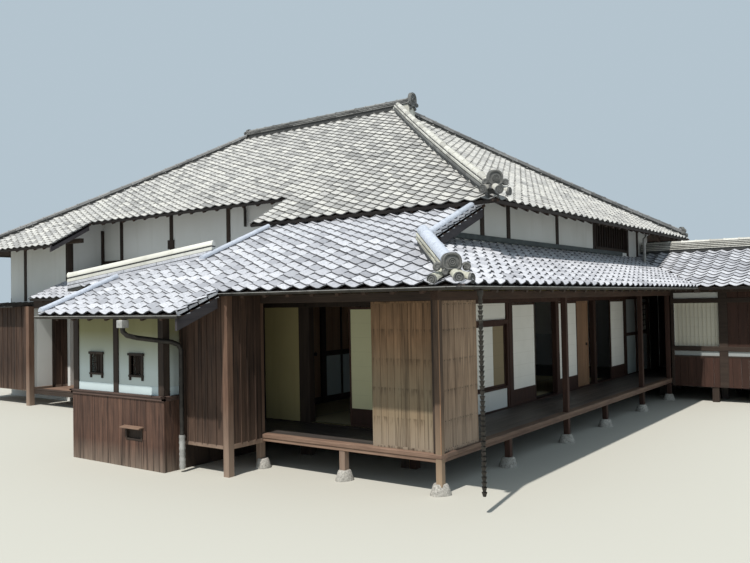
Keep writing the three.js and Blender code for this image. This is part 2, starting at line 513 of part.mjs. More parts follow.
// Plank closet that stands out of the front
const PLANK = { wall: 30, floor: 35, post: 100 };
const closetTop = geyaUnder(CLOSET.front);
add("plank_closet", join(
  box(BATH.right, CLOSET.right, CLOSET.front, CLOSET.front + PLANK.wall, 0, closetTop),
  prismX([[CLOSET.front, 0], [0, 0], [0, geyaUnder(0)], [CLOSET.front, closetTop]],
    CLOSET.right - PLANK.wall, CLOSET.right),
  box(BATH.right, CLOSET.right, CLOSET.front, 0, 0, PLANK.floor),
  box(CLOSET.right - PLANK.post, CLOSET.right, CLOSET.front, CLOSET.front + PLANK.post,
    GROUND, closetTop)), board);

// Bath house: plaster above a board dado, with two small windows and a hatch
const DADO_TOP = 640;
const throughBath = (x, width, z0, z1) =>
  box(x, x + width, BATH.front - WALL, BATH.front + 2 * WALL, z0, z1);
const bathWindows = [-5370, -4456].map((x) => throughBath(x, 240, 900, 1165));
const hatch = throughBath(-4530, 320, 30, 150);
const bathFrontWall = box(
  BATH.left, BATH.right, BATH.front, BATH.front + WALL, GROUND, geyaUnder(BATH.front));
const BATH_POST = 100;
const bathPosts = [BATH.left + BATH_POST / 2, -4790, BATH.right - BATH_POST / 2].map((x) =>
  box(x - BATH_POST / 2, x + BATH_POST / 2, BATH.front - STUD_PROUD, BATH.front + TIMBER_SINK,
    DADO_TOP, geyaUnder(BATH.front - STUD_PROUD)));
const leftWallTop = leftTop(BATH.left) - ROOF - GAP;
const bathLeftWall = prismX([
  [BATH.front, GROUND], [MIDDLE_FRONT, GROUND], [MIDDLE_FRONT, leftWallTop],
  [plasterLine(BATH.left), leftWallTop], [BATH.front, geyaUnder(BATH.front)]], BATH.left, BATH.left + WALL);
add("bath_front_wall", cut(join(bathFrontWall, bathLeftWall, bathPosts), bathWindows, hatch), plaster);
add("bath_right_wall", prismX([
  [BATH.front + WALL, GROUND], [INNER_FRONT, GROUND], [INNER_FRONT, geyaUnder(INNER_FRONT)],
  [BATH.front + WALL, geyaUnder(BATH.front + WALL)]], BATH.right - WALL, BATH.right), plaster);
const DADO = 25; // thickness of its boards
const RAIL = { out: 60, depth: 40 };
const railBottom = DADO_TOP - RAIL.depth;
const DADO_BACK = 1900; // how far the dado runs back along the left wall
// Boards or a rail round the bath house, standing out of its walls by an amount
const roundBath = (out, frontBack, z0, z1) => [
  box(BATH.left - out, BATH.right + out, BATH.front - out, frontBack, z0, z1),
  box(BATH.right, BATH.right + out, BATH.front - out, CLOSET.front, z0, z1),
  box(BATH.left - out, BATH.left, BATH.front - out, DADO_BACK, z0, z1)];
add("bath_dado", cut(join(
  roundBath(DADO, BATH.front, GROUND, railBottom),
  roundBath(RAIL.out, BATH.front - STUD_PROUD, railBottom, DADO_TOP)), hatch), board);

// Recessed entry in the middle: its wall, and the posts of the lean-to with the raised floor between them
const DOORWAY = 1700;
const entryDoorways = [-11500, -8700].map((x) =>
  box(x, x + DOORWAY, MIDDLE_FRONT - WALL, MIDDLE_FRONT + 2 * WALL, 0, HEAD));
const entryWall = box(
  WING_SIDE_X, BATH.left + WALL, MIDDLE_FRONT, MIDDLE_FRONT + WALL, GROUND, WALL_SPLIT - GAP);
add("entry_wall", cut(entryWall, entryDoorways), plaster);
const ENTRY = { edge: 2100, floor: 40, sill: 110, lintel: LINTEL - 20, feetFront: 3000 };
const leanUnder = leanTop(0, ENTRY.edge) - ROOF - GAP;
const alongEntry = (x0, x1, z0, z1) => box(x0, x1, ENTRY.edge, ENTRY.edge + POST, z0, z1);
add("entry_frame", join(
  box(WING_SIDE_X, BATH.left, ENTRY.edge + POST, MIDDLE_FRONT, -ENTRY.floor, 0),
  [-11000, -8900, -6700].map((x) => box(x - FOOT / 2, x + FOOT / 2,
    ENTRY.feetFront, ENTRY.feetFront + FOOT, GROUND, TIMBER_SINK - ENTRY.floor)),
  alongEntry(BAY.right, LEAN_TO_RIGHT, ENTRY.lintel, leanUnder),
  alongEntry(BAY.right, BATH.left, -ENTRY.sill, 0),
  [-9900, -7700, LEAN_TO_RIGHT - POST].map((x) => alongEntry(x, x + POST, GROUND, leanUnder))), timber);

// Plank bay on the left wing's front
const bayUnder = (y) => bayTop(0, y) - BAY_ROOF.thickness - GAP;
const [bayLow, bayHigh] = [bayUnder(BAY.front), bayUnder(HOUSE.front)];
const BAY_WALL = 40; // thickness of its boards and floor
const BAY_FOOT = -20;
const baySide = [[BAY.front, BAY_FOOT], [HOUSE.front, BAY_FOOT], [HOUSE.front, bayHigh], [BAY.front, bayLow]];
add("plank_bay", join(
  box(BAY.left, BAY.right, BAY.front, BAY.front + BAY_WALL, BAY_FOOT, bayLow),
  [BAY.left, BAY.right - BAY_WALL].map((x) => prismX(baySide, x, x + BAY_WALL)),
  box(BAY.left, BAY.right, BAY.front, HOUSE.front, BAY_FOOT, BAY_FOOT + BAY_WALL),
  [BAY.left, BAY.right - POST].map((x) =>
    box(x, x + POST, BAY.front, BAY.front + POST, GROUND, bayLow))), board);

// Right wing
const wingUnder = (y) => Math.min(wingTop(0, y), wingBackTop(0, y)) - ROOF - GAP;
const WING_WINDOW = { left: 60, right: 950, bottom: 780, top: 1680 };
const wingWindow = box(WING_WINDOW.left, WING_WINDOW.right, WING.front - WALL, WING.front + 2 * WALL,
  WING_WINDOW.bottom, WING_WINDOW.top);
const wingPosts = [850, WING.right - FOOT / 2].map((x) =>
  box(x - FOOT / 2, x + FOOT / 2, WING.front, WING.front + WALL, GROUND, 0));
const wingFrontWall = box(0, WING.right, WING.front, WING.front + WALL, -50, wingUnder(WING.front));
add("wing_front_wall", cut(join(wingPosts, wingFrontWall), wingWindow), plaster);
const wingSide = prismX([
  [WING.front + WALL, GROUND], [WING.back, GROUND], [WING.back, wingUnder(WING.back)],
  [WING.ridge, wingUnder(WING.ridge)], [WING.front + WALL, wingUnder(WING.front + WALL)]],
  WING.right - WALL, WING.right);
add("wing_back_wall", join(wingSide,
  box(INNER - WALL, WING.right, WING.back - WALL, WING.back, GROUND, wingUnder(WING.back)),
  box(INNER - WALL, INNER, HOUSE.back, WING.back, GROUND, wingUnder(WING.back))), plaster);
add("wing_window_screen", box(WING_WINDOW.left + GAP, WING_WINDOW.right - GAP, WING.front + 30,
  WING.front + 60, WING_WINDOW.bottom + GAP, WING_WINDOW.top - GAP), paper);
add("wing_floor", join(feet([-400, 900], [10200, 11600]),
  box(INNER, 0, WING.front, WING.front + WALL + 10, FLOOR_BOTTOM, SILL_TOP),
  box(INNER, WING.right - WALL, WING.front + WALL, WING.back - WALL, FLOOR_BOTTOM, SILL_TOP)), board);

// Gutters hang under the eaves, half-round and open above
function gutterSection(radius, thickness) {
  const steps = 6;
  const arc = (r) => Array.from({ length: steps + 1 }, (_, i) => {
    const turn = Math.PI + (Math.PI * i) / steps;
    return [r * Math.cos(turn), r * Math.sin(turn)];
  });
  return [...arc(radius), ...arc(radius - thickness).reverse()];
}
const GUTTER = { radius: 55, sheet: 8, below: 25, lap: 40 };
const gutter = (points) => carried(points, gutterSection(GUTTER.radius, GUTTER.sheet));
const gutterDrop = GUTTER.radius - GUTTER.below - ROOF;
const gutterZ = LOW.eave + gutterDrop;
const gutterOff = LOW.edge + GUTTER.radius + GAP;
const rightGutterEnd = wingEave - 150;
add("right_gutter", gutter([[gutterOff, -LOW.edge - 90, gutterZ], [gutterOff, rightGutterEnd, gutterZ]]),
  copper);
const gutterJoint = PORCH.right + GUTTER.lap;
add("front_gutter", gutter([[gutterJoint, -gutterOff, gutterZ], [LOW.edge - 10, -gutterOff, gutterZ]]),
  copper);
const porchGutterY = PORCH.front - GUTTER.radius - GAP;
const porchGutterZ = frontTop(0, PORCH.front) + gutterDrop;
add("porch_gutter",
  gutter([[PORCH.left, porchGutterY, porchGutterZ], [gutterJoint, porchGutterY, porchGutterZ]]), copper);

// Rain chain of cups, hung from the right gutter near the corner
const CHAIN = { x: gutterOff, y: -400, radius: 32, bottom: GROUND + 60, top: gutterZ - GUTTER.radius - GAP };
const chain = new THREE.CylinderGeometry(CHAIN.radius, CHAIN.radius, CHAIN.top - CHAIN.bottom, 8);
chain.rotateX(Math.PI / 2).translate(CHAIN.x, CHAIN.y, (CHAIN.top + CHAIN.bottom) / 2);
add("rain_chain", solidOf(chain), copper);

// Sliding pieces: shutters on the outer sill, screens and a board door on the inner threshold
const CLEAR = { below: 0.5, beside: 5 }; // round a sliding piece
const shutter = (x0, x1, y0, y1) =>
  box(x0, x1, y0, y1, SILL_TOP + CLEAR.below, LINTEL - CLEAR.beside);
add("front_shutter", shutter(-1010, -POST - CLEAR.beside, 70, 105), weathered);
add("right_shutter", shutter(-75, -40, POST + CLEAR.beside, 955), weathered);
const SCREEN = 30; // thickness of a screen
const screen = (x0, x1, y0, y1) => box(x0, x1, y0, y1, FLOOR_TOP + CLEAR.below, HEAD - CLEAR.beside);
const innerTrack = (near) => [INNER - near - SCREEN, INNER - near];
const TRACK = { outer: 15, inner: 52 }; // from the wall's face to a screen's
const outer = innerTrack(TRACK.outer);
const inward = innerTrack(TRACK.inner);
const frontTrack = [INNER_FRONT + TRACK.outer, INNER_FRONT + TRACK.outer + SCREEN];
add("right_screen_near", screen(...outer, 3985, 4880), paper);
add("right_screen_middle", screen(...outer, 5905, 6800), paper);
add("right_board_door", screen(...inward, 6620, 7490), weathered);
add("right_screen_far", screen(...outer, 8690, 9575), paper);
add("front_screen", screen(-2110, -1215, ...frontTrack), paper);

// The part's frame: on the ground, in the middle of the whole
const whole = new THREE.Group();
whole.add(house);
const bounds = new THREE.Box3().setFromObject(house);
const middle = bounds.getCenter(new THREE.Vector3());
house.position.set(-middle.x, -middle.y, -bounds.min.z);

export default whole;
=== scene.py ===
"""A Japanese farmhouse (minka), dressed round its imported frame: courses of clay tiles, ridges with end ornaments,
plaster, boards, paper screens, shutters, gutters and a rain chain. Every new piece is a surface worked out with
numpy, in metres, in the house's own frame: its origin is the foot of the near veranda corner, +X runs along the
front towards the right, +Y runs back and z = 0 is the lower edge of the veranda's sill."""
import math

import bmesh
import bpy
import numpy as np
from mathutils import Matrix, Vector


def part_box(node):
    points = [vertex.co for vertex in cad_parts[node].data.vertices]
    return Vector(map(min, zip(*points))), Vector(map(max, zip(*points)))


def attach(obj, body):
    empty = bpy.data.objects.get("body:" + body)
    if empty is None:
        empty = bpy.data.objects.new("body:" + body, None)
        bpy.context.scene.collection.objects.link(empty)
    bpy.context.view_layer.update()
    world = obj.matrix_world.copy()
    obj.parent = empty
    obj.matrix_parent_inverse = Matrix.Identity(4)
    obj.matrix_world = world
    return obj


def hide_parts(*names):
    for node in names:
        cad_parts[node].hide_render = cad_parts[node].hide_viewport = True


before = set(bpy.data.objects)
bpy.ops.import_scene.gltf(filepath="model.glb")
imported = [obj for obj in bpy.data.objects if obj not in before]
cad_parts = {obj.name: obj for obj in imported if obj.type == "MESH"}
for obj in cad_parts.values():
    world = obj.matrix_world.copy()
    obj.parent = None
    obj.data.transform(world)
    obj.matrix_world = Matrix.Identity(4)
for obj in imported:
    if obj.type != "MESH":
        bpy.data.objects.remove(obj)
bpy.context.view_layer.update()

# Where the house's own frame lies in the part's frame
POST = 0.13
SILL_TOP = 0.095
floor_low, floor_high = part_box("veranda_floor")
CORNER = np.array([floor_high.x + POST, floor_low.y - POST, floor_high.z - SILL_TOP])

# Driving sizes, as in the part's source
KEN = 1.91
GROUND = -0.37
FLOOR_TOP = 0.11
HEAD = 1.78
LINTEL = 1.85
WALL_HEAD = 1.995
ROOF = 0.09
MAIN = {"left": -15.2, "right": -0.25, "front": 2.0, "back": 12.3, "eave": 3.26, "slope": 0.595, "sag": 0.06}
MAIN_RUN = (MAIN["back"] - MAIN["front"]) / 2
CUT = {"left": -11.2, "right": -5.05, "depth": 1.0}
LOW = {"eave": 2.04, "slope": 0.4, "edge": 0.75}
PORCH = {"left": -5.9, "right": -2.82, "front": -1.41}
VERGE_X = -0.6
FRONT_LEFT_X = -4.62
RIDGE_LOW = (-6.7, -0.35)
RIDGE_HIGH = (-4.62, 0.75)
INNER = -1.02
INNER_FRONT = 1.02
HOUSE = {"left": -14.55, "right": INNER, "front": 2.94, "back": 11.4}
MIDDLE_FRONT = 3.89
WING = {"right": 1.84, "front": 9.5, "back": 12.2, "ridge": 10.85, "verge": 2.2}
LEAN_TO = {"left": -12.04, "right": -6.75, "front": 1.95, "eave": 2.08, "slope": 0.42}
BAY_ROOF = {"left": -14.7, "right": -12.23, "front": 1.7, "eave": 1.9, "slope": 0.08}
BATH = {"left": -5.8, "right": -3.76, "front": -0.86}
CLOSET = {"right": -2.8, "front": -0.62}
BAY = {"left": -14.55, "right": -12.05, "front": 1.98}
PARTITION_X = -4.2
WING_SIDE = -11.95
DADO_TOP = 0.64
POST_Y = (1.08, 3.91, 5.83, 7.74, 9.65, 11.34)
UP = np.array([0.0, 0.0, 1.0])
chance = np.random.default_rng(7)


# Shapes: each is (points, faces, looks), with faces a list of index arrays and looks three numbers a point:
# a tone that differs from board to board, how near the point is to a tile's front lip, which is darkened with soot and
# painted shade, and a spare
def skin(sections, looks=(0.5, 0.0, 0.0)):
    """Closes skins over sections, an array (pieces, steps, n, 3): each point is joined to the next one round its
    section and to its like in the next section, and the first and last sections are closed by flat caps."""
    pieces, steps, n, _ = sections.shape
    index = np.arange(pieces * steps * n).reshape(pieces, steps, n)
    beside = np.roll(index, -1, axis=2)
    quads = np.stack([index[:, :-1], beside[:, :-1], beside[:, 1:], index[:, 1:]], axis=-1).reshape(-1, 4)
    caps = np.concatenate([index[:, 0, ::-1], index[:, -1]])
    return sections.reshape(-1, 3), [quads, caps], np.broadcast_to(looks, sections.shape).reshape(-1, 3)


def together(*shapes):
    """Several shapes as one, each one's faces counted on from the last one's points."""
    counts = np.cumsum([0] + [len(points) for points, _, _ in shapes])
    faces = [face + count for (_, group, _), count in zip(shapes, counts) for face in group]
    return np.concatenate([s[0] for s in shapes]), faces, np.concatenate([s[2] for s in shapes])


def unit(vectors):
    """Vectors scaled to length one."""
    vectors = np.asarray(vectors, float)
    return vectors / np.linalg.norm(vectors, axis=-1, keepdims=True)


def tones(count, steps, n):
    """Looks for count pieces of so many sections of n points: one random tone for each piece."""
    made = np.zeros((count, steps, n, 3))
    made[..., 0] = chance.random(count)[:, None, None]
    return made


def circle(steps):
    """Angles at even steps round a circle."""
    return np.linspace(0, 2 * np.pi, steps, endpoint=False)


def blocks(boxes, chamfer):
    """Square-cut timbers: for each box x0, x1, y0, y1, z0, z1, a rectangle with cut corners is carried along its
    longest side."""
    boxes = np.asarray(boxes, float).reshape(-1, 3, 2)
    centre = boxes.mean(2)
    half = np.ptp(boxes, axis=2) / 2
    order = np.argsort(half, axis=1, kind="stable")
    sides = np.eye(3)[order]
    thin, wide, long = np.take_along_axis(half, order, 1).T[..., None, None]
    bevel = np.minimum(chamfer, thin * 0.4)
    sign_thin = np.array([1, 1, 1, 1, -1, -1, -1, -1])
    sign_wide = np.array([1, 1, -1, -1, -1, -1, 1, 1])
    on_edge = np.array([1, 0, 0, 1, 1, 0, 0, 1])
    ends = np.array([-1, 1])[:, None]
    places = [sign_thin * (thin - bevel * on_edge), sign_wide * (wide - bevel * (1 - on_edge)), ends * long]
    sections = centre[:, None, None] + sum(
        np.broadcast_to(place, (len(boxes), 2, 8))[..., None] * sides[:, None, None, k]
        for k, place in enumerate(places))
    return skin(sections, tones(len(boxes), 2, 8))


def bar(start, end, width, depth):
    """A straight bar: a rectangle, width across and depth down, is carried from the start to the end, which are
    the middle of the bar's upper face."""
    path = np.array([start, end], float)
    axis = unit(path[1] - path[0])
    across = unit(np.cross(axis, UP))
    side = np.array([-0.5, 0.5, 0.5, -0.5])[:, None] * width
    lift = np.array([0.0, 0.0, -1.0, -1.0])[:, None] * depth
    section = side * across + lift * np.cross(across, axis)
    return skin((path[:, None] + section)[None], tones(1, 2, 4))


def carried(path, profile, across):
    """A profile of (side, rise) points carried along a path, side along across and rise upwards."""
    path = np.asarray(path, float)
    profile = np.asarray(profile, float)
    offset = profile[:, :1] * np.asarray(across, float) + profile[:, 1:] * UP
    return skin((path[:, None] + offset)[None])


def spun(centre, axis, profile, steps):
    """A round form: rings of each (radius, along) of the profile about an axis through the centre."""
    axis = unit(axis)
    side = unit(np.cross(axis, (0.37, 0.11, 0.92)))
    other = np.cross(axis, side)
    turn = circle(steps)[:, None]
    ring = np.cos(turn) * side + np.sin(turn) * other
    radius, along = np.asarray(profile, float).T[..., None, None]
    return skin((np.asarray(centre, float) + along * axis + radius * ring)[None])


def tube(path, radius, steps=12):
    """A round pipe: a circle carried along a path, square to it at every point."""
    path = np.asarray(path, float)
    axis = unit(np.gradient(path, axis=0))
    side = unit(np.cross(axis, (0.31, 0.17, 0.93)))
    other = np.cross(axis, side)
    turn = circle(steps)[:, None]
    radius = np.broadcast_to(radius, len(path))[:, None, None]
    return skin((path[:, None] + radius * (np.cos(turn) * side[:, None] + np.sin(turn) * other[:, None]))[None])


def planks(low, high, along, through, width, gap=0.003, waver=0.003):
    """Boards that fill a box from its low to its high corner: the boards lie side by side on the axis along, with
    their faces on the axis through, and differ a little in width and in how far they stand out."""
    low, high = np.array(low, float), np.array(high, float)
    count = max(1, round((high[along] - low[along]) / width))
    edges = np.linspace(low[along], high[along], count + 1)
    edges[1:-1] += chance.uniform(-0.14, 0.14, count - 1) * width
    boxes = np.tile(np.stack([low, high], 1), (count, 1, 1))
    boxes[:, along, 0] = edges[:-1] + gap / 2
    boxes[:, along, 1] = edges[1:] - gap / 2
    boxes[:, through, :] += chance.uniform(-waver, 0, count)[:, None]
    return boxes.reshape(-1, 6)


class Finish:
    """A material: a Principled shader and the procedural nodes that feed it. Patterns read Object coordinates, in
    metres, or the points' looks. The slot is not used."""

    def __init__(self, name, slot=None, roughness=0.7, metallic=0.0, specular=0.4):
        self.material = bpy.data.materials.new(name)
        self.material.use_nodes = True
        self.tree = self.material.node_tree
        self.shader = self.tree.nodes["Principled BSDF"]
        self.shader.inputs["Roughness"].default_value = roughness
        self.shader.inputs["Metallic"].default_value = metallic
        self.shader.inputs["Specular IOR Level"].default_value = specular
        self.place = self.node("TexCoord").outputs["Object"]

    def node(self, kind, inputs=None, **settings):
        made = self.tree.nodes.new("ShaderNode" + kind)
        for key, value in settings.items():
            setattr(made, key, value)
        for key, value in (inputs or {}).items():
            self.feed(made.inputs[key], value)
        return made

    def feed(self, socket, value):
        if isinstance(value, bpy.types.NodeSocket):
            self.tree.links.new(value, socket)
        else:
            socket.default_value = value

    def looks(self):
        """The points' tone, edge and spare value."""
        attribute = self.node("Attribute", attribute_name="looks")
        return self.node("SeparateXYZ", {0: attribute.outputs["Vector"]}).outputs

    def math(self, operation, a, b=0.0, c=0.0):
        return self.node("Math", {0: a, 1: b, 2: c}, operation=operation).outputs[0]

    def noise(self, scale, detail, stretch=(1, 1, 1), shift=None, rough=0.55):
        """Noise on Object coordinates, stretched on its axes and shifted by a vector or not at all."""
        place = self.place
        if shift is not None:
            place = self.node("VectorMath", {0: place, 1: shift}, operation="ADD").outputs[0]
        mapped = self.node("Mapping", {"Vector": place, "Scale": stretch}).outputs[0]
        made = self.node("TexNoise", {"Vector": mapped, "Scale": scale, "Detail": detail, "Roughness": rough})
        return made.outputs[0]

    def ramp(self, value, stops):
        """A colour or grey ramp of (place, value) stops."""
        made = self.node("ValToRGB", {0: value})
        elements = made.color_ramp.elements
        while len(elements) < len(stops):
            elements.new(0.5)
        for element, (place, colour) in zip(elements, stops):
            element.position = place
            element.color = (colour,) * 3 + (1,) if isinstance(colour, (int, float)) else tuple(colour) + (1,)
        return made.outputs[0]

    def mix(self, factor, a, b):
        made = self.node("Mix", data_type="RGBA")
        for index, value in ((0, factor), (6, a), (7, b)):
            if isinstance(value, tuple):
                value = value + (1,)
            self.feed(made.inputs[index], value)
        return made.outputs[2]

    def faded(self, body, fades, amount):
        """Mixes colours over a body by height: each fade (low, high, colour, share) grows downwards, from none at
        high to its share at low."""
        height = self.node("SeparateXYZ", {0: self.place}).outputs[2]
        for low, high, colour, share in fades:
            made = self.node("MapRange", {"Value": height, "From Min": high + CORNER[2],
                                          "From Max": low + CORNER[2], "To Min": 0.0, "To Max": share})
            body = self.mix(self.math("MULTIPLY", made.outputs[0], amount), body, colour)
        return body

    def colour(self, value):
        self.feed(self.shader.inputs["Base Color"], value)

    def bump(self, height, distance, strength):
        made = self.node("Bump", {"Height": height, "Distance": distance, "Strength": strength})
        self.feed(self.shader.inputs["Normal"], made.outputs[0])

    def roughness(self, value, low, high):
        made = self.node("MapRange", {"Value": value, "To Min": low, "To Max": high})
        self.feed(self.shader.inputs["Roughness"], made.outputs[0])


def tile_finish(name, light, mid, dark, spots, soot=0.3):
    """Smoked clay: a tone for each tile, broad weathering, specks of lichen, and soot and painted shade at each tile's
    front edge, the shade under its lip, whose colour is the dark tone times soot."""
    made = Finish(name, "roof_tile", specular=0.45)
    tone, edge = made.looks()[:2]
    broad = made.noise(0.7, 3)
    fine = made.noise(38.0, 5)
    body = made.ramp(made.math("MULTIPLY_ADD", tone, 0.6, made.math("MULTIPLY", broad, 0.45)),
                     [(0.12, dark), (0.4, mid), (0.85, light)])
    body = made.mix(made.ramp(fine, [(0.35, 0.45), (0.62, 0.0)]), body, dark)
    blotch = made.ramp(made.noise(9.0, 6, rough=0.7), [(0.6, 0.0), (0.72, spots)])
    body = made.mix(blotch, body, (0.13, 0.13, 0.115))
    # Soot and painted shade on each tile's front lip, mixed towards the dark tone times soot
    body = made.mix(made.ramp(edge, [(0.86, 0.0), (0.97, 0.95)]), body, tuple(soot * part for part in dark))
    made.colour(body)
    made.roughness(fine, 0.42, 0.7)
    made.bump(made.math("ADD", fine, made.noise(180.0, 3)), 0.0015, 0.6)
    return made.material


def wood_finish(name, light, dark, slot="dark_timber", grain=2, roughness=0.75, fades=(), rows=None, streaks=0.0):
    """Boards and beams: fine grain stretched along one axis and moved on from board to board, streaks, and a tone
    for each board. Each of the fades (low, high, colour, amount) grows from none at the height high to its amount
    at low and under it. Rows (first, pitch, amount) are rows of nails: dark stains that run down from some places
    of each row. Streaks are thin dark lines along the grain."""
    made = Finish(name, slot, specular=0.25)
    tone = made.looks()[0]
    steps = [made.math("MULTIPLY", tone, step) for step in (7.3, 3.1, 11.7)]
    shift = made.node("CombineXYZ", dict(enumerate(steps))).outputs[0]

    def drawn(scale, detail, share, rough=0.55):
        """Noise that is drawn out along the grain, to a share of its scale there."""
        stretch = [1.0, 1.0, 1.0]
        stretch[grain] = share
        return made.noise(scale, detail, tuple(stretch), shift, rough)

    fibre = drawn(75.0, 5, 0.045, 0.65)
    streak = drawn(13.0, 3, 0.12)
    value = made.math("MULTIPLY_ADD", fibre, 0.55, made.math("MULTIPLY", streak, 0.45))
    body = made.ramp(value, [(0.32, dark), (0.66, light)])
    body = made.mix(made.ramp(tone, [(0.0, 0.4), (0.6, 0.0)]), body, dark)
    body = made.mix(made.ramp(tone, [(0.7, 0.0), (1.0, 0.22)]), body, light)
    body = made.mix(made.ramp(made.noise(1.6, 4), [(0.5, 0.0), (0.75, 0.45)]), body, dark)
    body = made.faded(body, fades, made.math("ADD", streak, 0.5))
    soot = tuple(part * 0.3 for part in dark)
    if streaks:
        body = made.mix(made.ramp(drawn(26.0, 4, 0.03), [(0.52, 0.0), (0.66, streaks)]), body, soot)
    if rows:
        first, pitch, amount = rows
        height = made.node("SeparateXYZ", {0: made.place}).outputs[2]
        phase = made.math("FRACT", made.math("DIVIDE", made.math("SUBTRACT", height, first + CORNER[2]), pitch))
        stain = made.ramp(phase, [(0.0, amount), (0.03, 0.0), (0.68, 0.0), (0.9, 0.6 * amount), (1.0, amount)])
        spots = made.ramp(drawn(34.0, 2, 0.15), [(0.48, 0.05), (0.6, 1.0)])
        body = made.mix(made.math("MULTIPLY", stain, spots), body, soot)
    made.colour(body)
    made.roughness(fibre, roughness - 0.12, roughness + 0.12)
    made.bump(value, 0.004, 0.7)
    return made.material


def plaster_finish(name, clean, stain, dirt=0.35, fades=()):
    """Lime plaster: soft clouds, faint runs down the wall and a fine trowelled grain."""
    made = Finish(name, "white_plaster", 0.9, specular=0.2)
    clouds = made.noise(0.9, 4)
    runs = made.noise(5.0, 4, (1.0, 1.0, 0.12))
    body = made.mix(made.ramp(clouds, [(0.4, 0.0), (0.75, dirt)]), clean, stain)
    body = made.faded(made.mix(made.ramp(runs, [(0.55, 0.0), (0.8, dirt)]), body, stain), fades, 1.0)
    made.colour(body)
    made.bump(made.noise(60.0, 6), 0.002, 0.4)
    return made.material


BAR_PITCH = 0.2


def paper_finish(name, colour, line, level=0.35):
    """Paper on a lattice: the shadows of its bars are painted on it as faint, darker lines, a pitch apart from a level
    upwards.
    """
    made = Finish(name, "screen_paper", 0.85, specular=0.15)
    height = made.node("SeparateXYZ", {0: made.place}).outputs[2]
    height = made.math("DIVIDE", made.math("SUBTRACT", height, CORNER[2] + level), BAR_PITCH)
    bar = made.math("ABSOLUTE", made.math("SUBTRACT", made.math("FRACT", height), 0.5))
    # Painted shadows of the lattice bars behind the paper
    body = made.mix(made.ramp(bar, [(0.465, 0.0), (0.49, 0.35)]), colour, line)
    body = made.mix(made.ramp(made.noise(3.0, 4), [(0.45, 0.0), (0.8, 0.25)]), body, line)
    made.colour(body)
    made.bump(made.noise(90.0, 4), 0.0006, 0.4)
    return made.material


def metal_finish(name, light, dark, roughness=0.5, metallic=0.7):
    """Weathered sheet metal: soft blotches of tarnish and fine scratches."""
    made = Finish(name, "dark_copper", metallic=metallic)
    blotch = made.noise(7.0, 6, rough=0.65)
    made.colour(made.ramp(blotch, [(0.35, dark), (0.68, light)]))
    made.roughness(blotch, roughness - 0.1, roughness + 0.2)
    made.bump(made.noise(55.0, 4), 0.0008, 0.4)
    return made.material


def stone_finish(name, light, dark):
    """Rough granite: crystals of two tones and a pitted face."""
    made = Finish(name, "white_plaster", 0.9, specular=0.25)
    body = made.ramp(made.noise(45.0, 6, rough=0.75), [(0.38, dark), (0.6, light)])
    made.colour(made.mix(made.ramp(made.noise(4.0, 4), [(0.45, 0.0), (0.8, 0.5)]), body, dark))
    made.bump(made.noise(30.0, 8, rough=0.7), 0.006, 0.8)
    return made.material


def mat_finish(name, light, dark):
    """Woven rush: fine ribs across the mat and a slow change of colour."""
    made = Finish(name, "brown_board", 0.8, specular=0.2)
    ribs = made.node("TexWave", {"Vector": made.place, "Scale": 60.0, "Distortion": 0.6}, bands_direction="X")
    body = made.mix(made.ramp(made.noise(1.2, 4), [(0.4, 0.0), (0.8, 0.6)]), light, dark)
    made.colour(made.mix(made.ramp(ribs.outputs[1], [(0.2, 0.25), (0.6, 0.0)]), body, dark))
    made.bump(ribs.outputs[1], 0.001, 0.5)
    return made.material


MAIN_TILE = tile_finish("main_tile", (0.66, 0.65, 0.61), (0.47, 0.465, 0.45), (0.2, 0.2, 0.195), 0.5, 0.5)
LOW_TILE = tile_finish("low_tile", (0.64, 0.65, 0.69), (0.49, 0.5, 0.54), (0.25, 0.255, 0.28), 0.3)
ROUND_TILE = tile_finish("round_tile", (0.56, 0.6, 0.68), (0.43, 0.47, 0.54), (0.28, 0.31, 0.37), 0.15, 0.7)
CREAM_TILE = tile_finish("cream_tile", (0.6, 0.6, 0.5), (0.42, 0.41, 0.34), (0.17, 0.165, 0.14), 0.5, 0.8)
WHITE_TILE = tile_finish("white_tile", (0.72, 0.71, 0.65), (0.54, 0.53, 0.48), (0.22, 0.21, 0.19), 0.4, 0.7)
RIDGE_TILE = tile_finish("ridge_tile", (0.32, 0.32, 0.31), (0.17, 0.17, 0.165), (0.06, 0.06, 0.06), 0.5, 0.8)
DARK_TILE = tile_finish("dark_tile", (0.3, 0.3, 0.3), (0.18, 0.18, 0.18), (0.07, 0.07, 0.07), 0.5, 0.8)
ORNAMENT_TILE = tile_finish("ornament_tile", (0.2, 0.2, 0.19), (0.12, 0.12, 0.115), (0.045, 0.045, 0.045), 0.4, 0.8)
# Near black: painted shade in the joints and gaps of the ridges, where their beds and thin courses show
JOINT_SHADE_TILE = tile_finish("joint_shade_tile", (0.06, 0.06, 0.058), (0.04, 0.04, 0.038), (0.02, 0.02, 0.02), 0.0, 0.8)
WHITE_PLASTER = plaster_finish("white_plaster", (0.68, 0.69, 0.67), (0.48, 0.48, 0.43))
